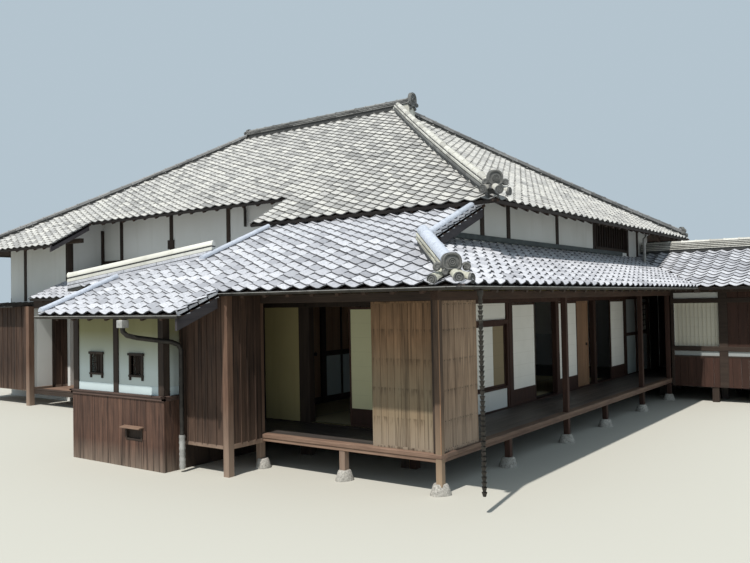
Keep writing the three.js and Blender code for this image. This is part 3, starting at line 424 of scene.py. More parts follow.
# Bath plaster: dark olive above as painted shade under the porch eave, tinted by a painted reflection, fading below 1.5
# to a pale grey-blue
BATH_PLASTER = plaster_finish("bath_plaster", (0.27, 0.26, 0.14), (0.19, 0.18, 0.09), 0.5,
                              [(0.95, 1.5, (0.5, 0.56, 0.55), 1.0)])
PALE_PLASTER = plaster_finish("pale_plaster", (0.55, 0.64, 0.66), (0.42, 0.48, 0.48))
OCHRE_PLASTER = plaster_finish("ochre_plaster", (0.42, 0.35, 0.17), (0.3, 0.25, 0.12), 0.5)
RIDGE_PLASTER = plaster_finish("ridge_plaster", (0.66, 0.655, 0.6), (0.4, 0.39, 0.33), 0.8)
DARK_WOOD = wood_finish("dark_wood", (0.06, 0.042, 0.032), (0.018, 0.013, 0.011))
DARK_BEAM_X = wood_finish("dark_beam_x", (0.075, 0.052, 0.04), (0.022, 0.016, 0.013), grain=0)
DARK_BEAM_Y = wood_finish("dark_beam_y", (0.085, 0.05, 0.036), (0.028, 0.017, 0.012), grain=1)
EAVE_WOOD = wood_finish("eave_wood", (0.04, 0.033, 0.03), (0.014, 0.012, 0.011), grain=0)
# The floor boards are darkened as painted shade, the verandas lying in deep shade under the eaves
FLOOR_X = wood_finish("floor_board_x", (0.085, 0.073, 0.066), (0.032, 0.027, 0.025), "brown_board", 0, 0.5)
FLOOR_Y = wood_finish("floor_board_y", (0.11, 0.095, 0.085), (0.042, 0.035, 0.032), "brown_board", 1, 0.5)
SILL_X = wood_finish("sill_x", (0.3, 0.2, 0.145), (0.12, 0.072, 0.052), grain=0)
SILL_Y = wood_finish("sill_y", (0.22, 0.15, 0.11), (0.085, 0.053, 0.041), grain=1)
# Brown boards, paler towards the foot: painted light on the lower boards, with painted shade above them under the eaves
BROWN_BOARD = wood_finish("brown_board", (0.1, 0.058, 0.04), (0.022, 0.014, 0.011), "brown_board",
                          fades=[(-0.4, 0.45, (0.17, 0.115, 0.085), 0.5)], streaks=0.8)
DADO_BOARD = wood_finish("dado_board", (0.17, 0.092, 0.064), (0.035, 0.021, 0.017), "brown_board",
                         fades=[(-0.4, -0.05, (0.3, 0.25, 0.2), 0.5)], streaks=0.8)
CAP_WOOD = wood_finish("cap_wood", (0.13, 0.085, 0.07), (0.05, 0.033, 0.028), grain=0)
# The second fade makes the shutter boards paler towards the foot: painted sunlight on the lower boards
SHUTTER_BOARD = wood_finish("shutter_board", (0.34, 0.2, 0.11), (0.13, 0.076, 0.041), "weathered_board",
                            rows=(0.46, 0.35, 0.6), streaks=0.6,
                            fades=[(0.8, 1.4, (0.22, 0.18, 0.12), 0.7), (0.1, 0.5, (0.3, 0.25, 0.2), 0.6)])
# A paler copy of the shutter boards for the right shutter: painted light from the sky and the sand, paler still towards
# the foot
SKY_LIT_BOARD = wood_finish("sky_lit_board", (0.42, 0.295, 0.2), (0.19, 0.125, 0.083), "weathered_board",
                         rows=(0.46, 0.35, 0.55), streaks=0.55, fades=[(0.1, 0.8, (0.31, 0.25, 0.2), 0.6)])
DOOR_BOARD = wood_finish("door_board", (0.34, 0.2, 0.115), (0.2, 0.115, 0.07), "weathered_board", roughness=0.6)
DARK_RED = wood_finish("dark_red_wood", (0.075, 0.037, 0.027), (0.03, 0.016, 0.012))
CLOSET_WOOD = wood_finish("closet_wood", (0.2, 0.12, 0.082), (0.08, 0.046, 0.033),
                          fades=[(-0.4, 0.6, (0.36, 0.28, 0.22), 0.6)])
CORNER_WOOD = wood_finish("corner_wood", (0.17, 0.11, 0.075), (0.045, 0.03, 0.022),
                          fades=[(-0.4, 0.7, (0.38, 0.28, 0.19), 0.8)])
BARGE_WOOD = wood_finish("barge_wood", (0.085, 0.075, 0.078), (0.032, 0.029, 0.033), grain=1)
PALE_LATTICE = wood_finish("pale_lattice", (0.6, 0.56, 0.45), (0.48, 0.44, 0.34), "screen_paper")
GREY_PLASTER = plaster_finish("grey_plaster", (0.34, 0.36, 0.36), (0.24, 0.26, 0.25))
GREEN_METAL = metal_finish("green_metal", (0.085, 0.105, 0.105), (0.04, 0.05, 0.052), 0.6, 0.2)
PAPER = paper_finish("paper", (0.86, 0.84, 0.78), (0.66, 0.64, 0.58))
# Dimmed, yellow-green paper for the front screen: painted shade, tinted by the light through it
SHADE_TINTED_PAPER = paper_finish("shade_tinted_paper", (0.62, 0.6, 0.38), (0.5, 0.48, 0.3))
# Dark tan: paper in painted shade
SHADED_PAPER = paper_finish("shaded_paper", (0.3, 0.24, 0.15), (0.22, 0.17, 0.11))
WING_PAPER = paper_finish("wing_paper", (0.66, 0.63, 0.53), (0.5, 0.48, 0.4), level=0.78)
# Dark copper: dark patina, and darker still as painted shade, so that the gutters merge with the shade under the eaves
COPPER = metal_finish("dark_copper", (0.075, 0.068, 0.06), (0.028, 0.026, 0.024))
GREY_METAL = metal_finish("grey_metal", (0.5, 0.5, 0.48), (0.25, 0.25, 0.24), 0.6, 0.3)
STONE = stone_finish("foot_stone", (0.5, 0.48, 0.44), (0.22, 0.21, 0.19))
RUSH_MAT = mat_finish("rush_mat", (0.5, 0.44, 0.27), (0.34, 0.3, 0.18))


# Pieces
SHARP_ANGLE = math.radians(38)


def add(name, shape, finish, replaces=None, body="house"):
    """Puts a shape into a new object at the origin, with its place in its mesh, and lets it ride on a body."""
    points, faces, looks = shape
    faces = [face for face in faces if len(face)]
    corners = np.concatenate([face.ravel() for face in faces])
    sizes = np.concatenate([np.full(len(face), face.shape[1]) for face in faces])
    mesh = bpy.data.meshes.new(name)
    mesh.vertices.add(len(points))
    mesh.vertices.foreach_set("co", (points + CORNER).astype(np.float32).ravel())
    mesh.loops.add(len(corners))
    mesh.loops.foreach_set("vertex_index", corners.astype(np.int32))
    mesh.polygons.add(len(sizes))
    mesh.polygons.foreach_set("loop_start", np.concatenate([[0], np.cumsum(sizes)[:-1]]).astype(np.int32))
    mesh.update(calc_edges=True)
    store = mesh.attributes.new("looks", "FLOAT_VECTOR", "POINT")
    store.data.foreach_set("vector", looks.astype(np.float32).ravel())
    turned = bmesh.new()
    turned.from_mesh(mesh)
    bmesh.ops.recalc_face_normals(turned, faces=turned.faces)
    turned.to_mesh(mesh)
    turned.free()
    mesh.polygons.foreach_set("use_smooth", np.ones(len(sizes), bool))
    mesh.set_sharp_from_angle(angle=SHARP_ANGLE)
    mesh.materials.append(finish)
    piece = bpy.data.objects.new(name, mesh)
    bpy.context.scene.collection.objects.link(piece)
    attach(piece, body)
    if replaces:
        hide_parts(replaces)


def dress(finish, *nodes):
    """Gives CAD nodes a finish. Their points have no looks, so boards on them share one tone."""
    for name in nodes:
        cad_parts[name].material_slots[0].material = finish


# Roof slopes
class Slope:
    """A roof slope: s runs along the eave on an axis, d runs inwards from the eave in plan, and height(d) is the top
    of the tiles."""

    def __init__(self, axis, eave, inward, height, course, roll=0.045, lip=0.022):
        self.axis, self.eave, self.inward, self.height, self.course = axis, eave, inward, height, course
        self.roll, self.lip = roll, lip

    def place(self, s, d, rise):
        """Points on the slope: s along the eave, d inwards at height(d), moved out by rise square to the slope."""
        tilt = np.arctan((self.height(d + 0.01) - self.height(d - 0.01)) / 0.02)
        outward = self.eave + self.inward * (d - rise * np.sin(tilt))
        points = np.stack(np.broadcast_arrays(s, outward, self.height(d) + rise * np.cos(tilt)), axis=-1)
        return points if self.axis == 0 else points[..., [1, 0, 2]]


def main_height(d):
    """The main roof's hollow slope: a straight rise less a parabola that is zero at the eave and at the ridge."""
    share = d / MAIN_RUN
    return MAIN["eave"] + MAIN["slope"] * d - 4 * MAIN["sag"] * share * (1 - share)


LOW_COURSE = 0.156
MAIN_COURSE = MAIN_RUN / 42
low_height = lambda d: LOW["eave"] + LOW["slope"] * d
porch_height = lambda d: low_height(d + PORCH["front"] + LOW["edge"])
lean_height = lambda d: LEAN_TO["eave"] + LEAN_TO["slope"] * d
bay_height = lambda d: BAY_ROOF["eave"] + BAY_ROOF["slope"] * d
RIDGE_LOW_Z = porch_height(RIDGE_LOW[1] - PORCH["front"])
RIDGE_HIGH_Z = porch_height(RIDGE_HIGH[1] - PORCH["front"])
LEFT_GRADE = (RIDGE_HIGH_Z - RIDGE_LOW_Z) / (RIDGE_HIGH[0] - RIDGE_LOW[0])
left_height = lambda d: RIDGE_LOW_Z + LEFT_GRADE * (d - 0.05)
front_slope = Slope(0, PORCH["front"], 1, porch_height, LOW_COURSE)
right_slope = Slope(1, LOW["edge"], -1, low_height, LOW_COURSE)
wing_front = Slope(0, WING["front"] - LOW["edge"], 1, low_height, LOW_COURSE)
wing_back = Slope(0, 2 * WING["ridge"] - WING["front"] + LOW["edge"], -1, low_height, LOW_COURSE)
left_slope = Slope(1, RIDGE_LOW[0] - 0.05, 1, left_height, LOW_COURSE)
lean_slope = Slope(0, LEAN_TO["front"], 1, lean_height, LOW_COURSE)
main_front = Slope(0, MAIN["front"], 1, main_height, MAIN_COURSE, 0.038)
main_back = Slope(0, MAIN["back"], -1, main_height, MAIN_COURSE, 0.038)
main_left = Slope(1, MAIN["left"], 1, main_height, MAIN_COURSE, 0.038)
main_right = Slope(1, MAIN["right"], -1, main_height, MAIN_COURSE, 0.042, 0.012)

TILE_WIDTH = 0.26
TILE_LAP = 0.035
TILE_BED = -0.052
BOARD_TOP = -0.056
TILE_ACROSS = np.array([0.0, 0.1, 0.24, 0.4, 0.56, 0.72, 0.86, 0.985])


def tile_course(slope, d0, d1, low, high):
    """One course of pantiles: a five-point section, from the front lip to the tail under the next course, carried
    across the tiles. Across each tile it rises as a cosine, highest at the joints, less a small fall to the next
    tile; at a joint the front edge steps back in a notch, and each tile lies a little up, down, in or out."""
    tiles = np.arange(math.floor(low / TILE_WIDTH), math.ceil(high / TILE_WIDTH) + 1)
    s = (tiles[:, None] + TILE_ACROSS).ravel() * TILE_WIDTH
    s = np.concatenate([[low], s[(s > low + 0.004) & (s < high - 0.004)], [high]])
    number = np.floor(s / TILE_WIDTH + 1e-6).astype(int)
    u = np.clip(s / TILE_WIDTH - number, 0, 1)
    lift, slide, tone = chance.random((3, len(tiles) + 1))[:, number - tiles[0]]
    wave = slope.roll * (0.5 + 0.5 * np.cos(2 * np.pi * u)) * (1 - 0.22 * u) + (lift - 0.5) * 0.006
    notch = 0.02 * np.clip(1 - np.minimum(u, 1 - u) / 0.1, 0, 1) + slide * 0.01
    front = np.array([1, 1, 1, 0, 0]) * notch[:, None]
    d = front + np.array([d0 + 0.012, d0 + 0.008, d0 + 0.015, d1 + TILE_LAP, d1 + TILE_LAP])
    rise = wave[:, None] + TILE_BED + np.array([0.003, slope.lip - 0.005, slope.lip, -0.004, -0.014])
    looks = np.zeros(d.shape + (3,))
    looks[..., 0] = tone[:, None]
    # The front lip is marked for soot and painted shade
    looks[..., 1] = [1.0, 1.0, 0.85, 0.0, 0.0]
    return skin(slope.place(s[:, None], d, rise)[None], looks[None])


def stretch_rows(slope, stretch):
    """The inset of each course's front edge on a stretch, and the stretch's end."""
    start, end = stretch[0][0], stretch[-1][0]
    marks = np.arange(1, 80) * slope.course
    return np.concatenate([[start], marks[(marks > start + 0.04) & (marks < end - 0.03)], [end]])


def limits(stretch, d):
    """How far a stretch reaches along the eave at an inset: straight lines between its (inset, low, high) marks."""
    marks = np.array(stretch, float)
    return np.interp(d, marks[:, 0], marks[:, 1]), np.interp(d, marks[:, 0], marks[:, 2])


def tile_field(slope, stretches):
    """All the courses of a slope."""
    courses = []
    for stretch in stretches:
        rows = stretch_rows(slope, stretch)
        for d0, d1 in zip(rows[:-1], rows[1:]):
            low, high = limits(stretch, (d0 + d1) / 2)
            if high - low > 0.08:
                courses.append(tile_course(slope, d0, d1, float(low), float(high)))
    return together(*courses)


def deck(slope, stretches):
    """The boards under the tiles: a flat section from the low to the high limit carried up the slope."""
    shapes = []
    for stretch in stretches:
        marks = np.unique(np.concatenate([[m[0] for m in stretch], stretch_rows(slope, stretch)[::5]]))
        low, high = limits(stretch, marks)
        inset = np.where(marks == stretch[0][0], marks + 0.02, marks)
        across = np.stack([low, high, high, low], 1)
        shapes.append(skin(slope.place(across, inset[:, None], np.array([BOARD_TOP, BOARD_TOP, -ROOF, -ROOF]))[None]))
    return together(*shapes)


def eave_board(slope, d, low, high):
    """The board along an eave, under the front edge of the tiles: a rectangle carried along the eave."""
    foot = TILE_BED - 0.05
    section = np.array([[0.015, TILE_BED], [0.045, TILE_BED], [0.045, foot], [0.015, foot]])
    s = np.array([low, high])[:, None]
    return skin(slope.place(s, d + section[:, 0], section[:, 1])[None])


def rafters(slope, s, d0, d1):
    """Rafters under the boards, at each s from inset d0 to d1: a rectangle carried up the slope."""
    s, d0, d1 = np.broadcast_arrays(np.asarray(s, float), d0, d1)
    kept = d1 > d0 + 0.12
    s, d0, d1 = s[kept], d0[kept], d1[kept]
    side = np.array([-0.025, 0.025, 0.025, -0.025])
    rise = -ROOF - np.array([0, 0, 1, 1]) * 0.06
    d = np.stack([d0, d1], 1)[:, :, None]
    return skin(slope.place(s[:, None, None] + side, d, rise), tones(len(s), 2, 4))


def hipped(depth, low, high):
    """The stretch of a hipped slope: it loses as much at each end as it goes inwards."""
    return [(0.0, low, high), (depth, low + depth, high - depth)]


main_edges = hipped(MAIN_RUN, MAIN["left"], MAIN["right"])
end_edges = hipped(MAIN_RUN - 0.03, MAIN["front"], MAIN["back"])
setback = CUT["depth"]
front_stretches = [
    [(0.0, MAIN["left"], CUT["left"]), (setback, MAIN["left"] + setback, CUT["left"])],
    [(0.0, CUT["right"], MAIN["right"]), (setback, CUT["right"], MAIN["right"] - setback)],
    [(setback, MAIN["left"] + setback, MAIN["right"] - setback), main_edges[1]]]
y_of = lambda y: y - PORCH["front"]
low_stretches = [
    [(0.0, PORCH["left"], PORCH["right"]), (y_of(-LOW["edge"]), PORCH["left"], PORCH["right"])],
    [(y_of(-LOW["edge"]), PORCH["left"], LOW["edge"]), (y_of(RIDGE_LOW[1]), PORCH["left"], -RIDGE_LOW[1])],
    [(y_of(RIDGE_LOW[1]), RIDGE_LOW[0], -RIDGE_LOW[1]), (y_of(-VERGE_X), -4.9, VERGE_X),
     (y_of(RIDGE_HIGH[1]), RIDGE_HIGH[0], VERGE_X)],
    [(y_of(RIDGE_HIGH[1]), FRONT_LEFT_X, VERGE_X), (y_of(2.3), FRONT_LEFT_X, VERGE_X)],
    [(y_of(2.3), FRONT_LEFT_X, INNER), (y_of(HOUSE["front"]), FRONT_LEFT_X, INNER)]]
low_depth = LOW["edge"] - INNER
right_stretches = [[(0.0, -LOW["edge"], WING["front"] - LOW["edge"]),
                    (low_depth, low_depth - LOW["edge"], WING["front"] - LOW["edge"] + low_depth)]]
wing_depth = WING["ridge"] - WING["front"] + LOW["edge"]
wing_front_stretches = [[(0.0, LOW["edge"], WING["verge"]), (low_depth, INNER, WING["verge"]),
                         (wing_depth, INNER, WING["verge"])]]
wing_back_stretches = [[(0.0, INNER - 0.1, WING["verge"]), (1.55, INNER - 0.1, WING["verge"]),
                        (1.56, INNER, WING["verge"]), (wing_depth, INNER, WING["verge"])]]
left_depth = RIDGE_HIGH[0] - RIDGE_LOW[0] + 0.05
left_stretches = [[(0.0, RIDGE_LOW[1], MIDDLE_FRONT), (0.05, RIDGE_LOW[1], MIDDLE_FRONT),
                   (left_depth, RIDGE_HIGH[1], MIDDLE_FRONT)]]
lean_depth = MIDDLE_FRONT - LEAN_TO["front"]
lean_stretches = [[(0.0, LEAN_TO["left"], LEAN_TO["right"]), (0.97, LEAN_TO["left"], LEAN_TO["right"]),
                   (0.98, -11.95, LEAN_TO["right"]), (lean_depth, -11.95, LEAN_TO["right"])]]
roofs = [
    ("main_roof_front", main_front, front_stretches, MAIN_TILE),
    ("main_roof_back", main_back, [main_edges], MAIN_TILE),
    ("main_roof_left", main_left, [end_edges], MAIN_TILE),
    ("main_roof_right", main_right, [end_edges], MAIN_TILE),
    ("front_lower_roof", front_slope, low_stretches, LOW_TILE),
    ("right_lower_roof", right_slope, right_stretches, LOW_TILE),
    ("left_lower_roof", left_slope, left_stretches, LOW_TILE),
    ("middle_lower_roof", lean_slope, lean_stretches, LOW_TILE)]
for node, slope, stretches, finish in roofs:
    add(node + "_tiles", tile_field(slope, stretches), finish, node)
    add(node + "_boards", deck(slope, stretches), DARK_BEAM_X if slope.axis else DARK_BEAM_Y)
wing_roof = ((wing_front, wing_front_stretches), (wing_back, wing_back_stretches))
add("wing_roof_tiles", together(*[tile_field(*part) for part in wing_roof]), LOW_TILE, "wing_roof")
valley = [(LOW["edge"] - d, WING["front"] - LOW["edge"] + d, low_height(d) - ROOF + 0.03) for d in (0.03, low_depth)]
add("wing_valley_beam", bar(*valley, 0.13, 0.1), DARK_WOOD)
add("wing_roof_boards", together(*[deck(*part) for part in wing_roof]), DARK_BEAM_Y)


# Ridges
class Line:
    """A line straight in plan: at(t) is the point at the length t along it, and across is level and square to it."""

    def __init__(self, points):
        self.points = np.asarray(points, float)
        steps = np.linalg.norm(np.diff(self.points, axis=0), axis=1)
        self.marks = np.concatenate([[0], np.cumsum(steps)])
        self.length = self.marks[-1]
        run = self.points[-1] - self.points[0]
        self.ahead = unit([run[0], run[1], 0])
        self.across = np.array([self.ahead[1], -self.ahead[0], 0])

    def at(self, t):
        t = np.asarray(t, float)
        inside = np.stack([np.interp(t, self.marks, self.points[:, k]) for k in range(3)], -1)
        start = unit(self.points[1] - self.points[0]) * np.minimum(t, 0)[..., None]
        return inside + start

    def beside(self, side):
        return Line(self.points + side * self.across)


def cuts(line, pitch, shift=0.0):
    """Where a line is divided into pieces of one pitch, the first and last ones shorter."""
    marks = np.arange(shift * pitch, line.length, pitch)
    marks = marks[(marks > 0.05) & (marks < line.length - 0.05)]
    return np.concatenate([[0], marks, [line.length]])


def flat_course(line, width, low, high, pitch=0.28, shift=0.0):
    """A course of flat ridge tiles: a rectangle with cut corners carried from joint to joint, each tile a little
    to one side."""
    marks = cuts(line, pitch, shift)
    ends = line.at(np.stack([marks[:-1] + 0.003, marks[1:] - 0.003], 1))
    nudge = chance.uniform(-0.004, 0.004, len(marks) - 1)[:, None, None]
    side = np.array([-1, -1, 1, 1, 1, 1, -1, -1]) * width / 2 + np.array([0, 1, -1, 0, 0, -1, 1, 0]) * 0.006
    rise = np.array([low + 0.006, low, low, low + 0.006, high - 0.006, high, high, high - 0.006])
    offset = (side + nudge)[..., None] * line.across + rise[:, None] * UP
    return skin(ends[:, :, None] + offset, tones(len(marks) - 1, 2, 8))


def round_course(line, radius, rise, pitch=0.3, lip=0.008):
    """A course of half-round cover tiles: a half circle whose radius is largest over a short lip at the lower end
    and then falls slightly to the next joint."""
    marks = cuts(line, pitch)
    start, end = marks[:-1, None], marks[1:, None]
    t = np.concatenate([start, start + 0.03, start + 0.034, end + 0.012], 1)
    t[-1, -1] = line.length
    size = radius + np.array([lip, lip, 0.0, -lip * 0.4])
    turn = np.linspace(-0.12, np.pi + 0.12, 11)
    side = size[:, None] * np.cos(turn)
    height = size[:, None] * np.sin(turn) + rise
    offset = side[..., None] * line.across + height[..., None] * UP
    looks = tones(len(marks) - 1, 4, 11)
    looks[:, :2, :, 1] = 0.7
    return skin(line.at(t)[:, :, None] + offset, looks)


def band(bottom, top, low, high):
    """The section of a long bed: it reaches bottom to each side at low's height and top at high's."""
    return [[-bottom, low], [bottom, low], [top, high], [-top, high]]


def ridge_stack(name, line, width, height, cover, courses, node, finish, bed=0.05, gap=0.014):
    """A ridge: flat courses that narrow upwards on a bed, under a course of round covers. The bed is painted near
    black, as the shade in the joints between the courses.
    """
    levels = np.linspace(0.012, height - cover, courses + 1)
    flats = [flat_course(line, width * (1 - 0.12 * k / max(1, courses - 1)), low, high - gap, shift=0.5 * (k % 2))
             for k, (low, high) in enumerate(zip(levels[:-1], levels[1:]))]
    # On a hip of two courses the lower course is dark: moss, and painted shade on its shaded side
    if courses == 2:
        add(name + "_foot", flats.pop(0), ORNAMENT_TILE)
    add(name + "_courses", together(*flats), finish, node)
    add(name + "_covers", round_course(line, cover, height - cover - 0.012), finish)
    core = band(width * 0.4, width * 0.36, -bed, height - cover)
    add(name + "_bed", carried(line.points, core, line.across), JOINT_SHADE_TILE)


DISC_RINGS = [(0.004, 0.014), (0.16, 0.014), (0.24, 0.006), (0.4, 0.006), (0.46, 0.014), (0.6, 0.014), (0.66, 0.004),
              (0.8, 0.004), (0.84, 0.016), (0.96, 0.016), (1.0, 0.008), (1.0, -0.03), (0.004, -0.03)]


def disc(centre, facing, radius):
    """A plain round tile end: raised rings round a small boss."""
    return spun(centre, facing, [(share * radius, along) for share, along in DISC_RINGS], 28)


def arch(centre, facing, half, high):
    """The face of an end ornament: rings of one outline, a rounded arch over a flatter foot, that grow from the
    middle outwards and rise in a border."""
    facing = unit(facing)
    side = unit(np.cross(UP, facing))
    turn = circle(36)
    power = np.where(np.sin(turn) > 0, 0.8, 0.55)
    x = np.sign(np.cos(turn)) * np.abs(np.cos(turn)) ** power * half
    z = np.sign(np.sin(turn)) * np.abs(np.sin(turn)) ** power * np.where(np.sin(turn) > 0, high, high * 0.75)
    rings = np.array([(0.02, 0.012), (0.45, 0.012), (0.7, 0.008), (0.76, 0.024), (0.86, 0.028), (0.93, 0.014),
                      (0.98, 0.016), (1.0, 0.0), (1.0, -0.05), (0.02, -0.05)])
    place = rings[:, :1, None] * (x[:, None] * side + z[:, None] * UP)[None] + rings[:, 1:, None] * facing
    return skin((np.asarray(centre, float) + place)[None])


def scroll(centre, facing, size, mirror):
    """A scroll: a tapering round bar that winds inwards, its radius falling evenly from size to a third of it."""
    facing = unit(facing)
    side = unit(np.cross(UP, facing)) * mirror
    share = np.linspace(0, 1, 22)
    turn = np.pi * 0.9 - share * 2 * np.pi
    reach = size * (1 - 0.68 * share)
    path = (np.asarray(centre, float) + (reach * np.cos(turn))[:, None] * side
            + (reach * np.sin(turn))[:, None] * UP + (0.012 * share)[:, None] * facing)
    return tube(path, 0.018 * (1 - 0.45 * share), 8)


def barrel(start, end, radius):
    """A round tile: a half circle closed below, from its front end to its tail."""
    line = Line([start, end])
    return round_course(line, radius, 0.0, pitch=2 * line.length, lip=0.005)


def end_ornament(name, foot, facing, half, high, spread=0.03):
    """A ridge's end: an arch with a plain ringed boss, a scroll on each side and a smaller one under it."""
    foot, facing = np.asarray(foot, float), unit(facing)
    side = unit(np.cross(UP, facing))
    middle = foot + UP * (high * 0.62)
    shapes = [arch(middle, facing, half, high * 0.62),
              disc(middle + UP * high * 0.04 + facing * 0.02, facing, half * 0.42)]
    for mirror in (-1, 1):
        for reach, rise, size in ((half + spread, high * 0.36, 0.044), (half * 0.62, 0.01, 0.036)):
            centre = foot + side * mirror * reach + UP * rise
            lobe = [(0.004, 0.012), (size * 0.75, 0.012), (size * 0.95, 0.0), (size * 0.95, -0.022), (0.004, -0.022)]
            shapes += [scroll(centre, facing, size, mirror), spun(centre, facing, lobe, 16)]
    add(name, together(*shapes), ORNAMENT_TILE)


HIP_MARKS = (0.6, 1.1, 1.7, 2.4, 3.2, 4.0)


def tile_tips(name, starts, turns, radius, fall, finish):
    """Round tiles that end in a ringed disc: from each start, each one runs back and up under the ridge."""
    pairs = list(zip(starts, turns))
    tiles = [barrel(start - turned * 0.01, start - turned * 0.2 + UP * fall, radius - 0.003)
             for start, turned in pairs]
    add(name, together(*tiles), finish)
    add(name + "_discs", together(*[disc(start, turned, radius) for start, turned in pairs]), ORNAMENT_TILE)


def swung(out, swing):
    """A level direction turned about the vertical."""
    return out * math.cos(swing) + np.cross(UP, out) * math.sin(swing)


# Each hip's corner, its direction in plan, its first and last insets, its height, width, cover and finish
main_hips = {
    "near": (MAIN["right"], MAIN["front"], -1, 1, 0.1, MAIN_RUN - 0.2, 0.19, 0.2, 0.06, WHITE_TILE),
    "far": (MAIN["right"], MAIN["back"], -1, -1, 0.16, MAIN_RUN - 0.2, 0.13, 0.17, 0.055, DARK_TILE),
    "left": (MAIN["left"], MAIN["front"], 1, 1, 0.2, MAIN_RUN - 0.1, 0.12, 0.17, 0.055, DARK_TILE),
    "back": (MAIN["left"], MAIN["back"], 1, -1, 0.2, MAIN_RUN - 0.1, 0.12, 0.17, 0.055, DARK_TILE)}
NEAR_TIPS = np.array([(-0.43, 1.94, 3.37), (-0.19, 1.96, 3.34), (-0.18, 2.25, 3.345)])
for name, (x, y, along_x, along_y, first, last, height, width, cover, finish) in main_hips.items():
    marks = np.array((first,) + HIP_MARKS + (last,))
    line = Line(np.stack([x + along_x * marks, y + along_y * marks, main_height(marks)], 1))
    ridge_stack(name + "_hip", line, width, height, cover, 2 if height > 0.15 else 1, name + "_hip_ridge", finish)
    out = unit([-along_x, -along_y, 0])
    near = name == "near"
    foot = line.points[0] + out * 0.03 + (np.array([0.015, 0.015, 0.08]) if near else UP * 0.015)
    end_ornament(name + "_hip_ornament", foot, out, 0.115 if near else 0.09, 0.2 if near else 0.13)
    turns = [swung(out, swing) for swing in (-0.85, 0.0, 0.85)]
    starts = NEAR_TIPS if near else [
        np.array([x - out[0] * 0.135, y - out[1] * 0.135, main_height(0.07) + rise]) + turned * 0.045
        for turned, rise in zip(turns, (-0.005, 0.02, -0.005))]
    tile_tips(name + "_hip_tips", starts, turns, 0.06 if near else 0.055, 0.07,
              WHITE_TILE if near else ORNAMENT_TILE)

RIDGE_Z = main_height(MAIN_RUN)
RIDGE_Y = (MAIN["front"] + MAIN["back"]) / 2
ridge_left, ridge_right = MAIN["left"] + MAIN_RUN - 0.12, MAIN["right"] - MAIN_RUN + 0.47
top_line = Line([(ridge_left, RIDGE_Y, RIDGE_Z), (ridge_right, RIDGE_Y, RIDGE_Z)])
ridge_stack("main_ridge", top_line, 0.25, 0.178, 0.058, 3, "main_ridge", RIDGE_TILE, bed=0.08)
peak = MAIN["right"] - MAIN_RUN
wedge = [[(x, RIDGE_Y - 0.1, low), (x, RIDGE_Y + 0.1, low), (x, RIDGE_Y + 0.1, RIDGE_Z), (x, RIDGE_Y - 0.1, RIDGE_Z)]
         for x, low in ((peak, RIDGE_Z - 0.06), (ridge_right - 0.01, RIDGE_Z - 0.33))]
add("main_ridge_wedge", skin(np.array([wedge])), RIDGE_PLASTER)
end_ornament("main_ridge_ornament_left", (ridge_left - 0.01, RIDGE_Y, RIDGE_Z), (-1, 0, 0), 0.1, 0.15)
end_ornament("main_ridge_ornament_right", (ridge_right + 0.01, RIDGE_Y, RIDGE_Z - 0.12), (1, 0, 0), 0.14, 0.31)

low_foot, low_head = LOW["edge"] - 0.24, VERGE_X + 0.1
low_line = Line([(low_foot - 0.03, -low_foot - 0.01, low_height(0.24) - 0.02),
                 (low_head, -low_head, low_height(LOW["edge"] - low_head) + 0.05)])
corner_out = unit([1, -1, 0])
flats = [flat_course(low_line, 0.2, 0.008, 0.042), flat_course(low_line, 0.185, 0.056, 0.088, shift=0.5)]
add("lower_hip_courses", together(*flats), CREAM_TILE, "lower_hip_ridge")
add("lower_hip_bed", carried(low_line.points, band(0.08, 0.075, -0.09, 0.118), low_line.across), JOINT_SHADE_TILE)
add("lower_hip_cover", round_course(low_line, 0.078, 0.112, pitch=0.62, lip=0.003), ROUND_TILE)
end_ornament("lower_hip_ornament", low_line.points[0] + corner_out * 0.035 + UP * 0.015, corner_out, 0.11, 0.175, 0.05)
corner_z = low_height(0.05)
low_tips = np.array([(0.36, -0.71, corner_z + 0.005), (0.64, -0.64, corner_z + 0.02), (0.71, -0.5, corner_z + 0.01)])
tile_tips("lower_hip_tips", low_tips, np.array([(0, -1, 0), corner_out, (1, 0, 0)]), 0.058, 0.06, CREAM_TILE)

wing_line = Line([(x, WING["ridge"], low_height(wing_depth)) for x in (-0.98, WING["verge"] - 0.03)])
ridge_stack("wing_ridge", wing_line, 0.19, 0.225, 0.06, 4, "wing_ridge", WHITE_TILE, gap=0.018)
end_ornament("wing_ridge_ornament", wing_line.points[1] - np.array([0.03, 0, -0.02]), (1, 0, 0), 0.11, 0.19)


def plaster_y(x):
    """The line of the plastered ridge in plan."""
    return RIDGE_LOW[1] + (x - RIDGE_LOW[0]) * (RIDGE_HIGH[1] - RIDGE_LOW[1]) / (RIDGE_HIGH[0] - RIDGE_LOW[0])


plaster_line = Line([(x, plaster_y(x), left_height(x - RIDGE_LOW[0] + 0.05))
                     for x in (RIDGE_LOW[0] - 0.01, RIDGE_HIGH[0] + 0.05)])
turn = np.linspace(0, np.pi, 13)
crown = np.stack([0.07 * np.cos(turn), 0.122 + 0.085 * np.sin(turn)], 1)
steps = np.linspace(0, plaster_line.length, 24)
bulge = 1 + 0.03 * np.sin(steps * 3.1) + 0.02 * np.sin(steps * 7.7 + 1)
path = plaster_line.at(steps)
body = path[:, None] + bulge[:, None, None] * (crown[:, :1] * plaster_line.across) + crown[:, 1:] * UP
add("plastered_ridge_top", skin(body[None]), RIDGE_PLASTER, "plastered_ridge")
add("plastered_ridge_course", flat_course(plaster_line, 0.18, 0.098, 0.124, pitch=0.3), JOINT_SHADE_TILE)
add("plastered_ridge_foot", carried(path, band(0.086, 0.088, 0.05, 0.098), plaster_line.across), RIDGE_PLASTER)
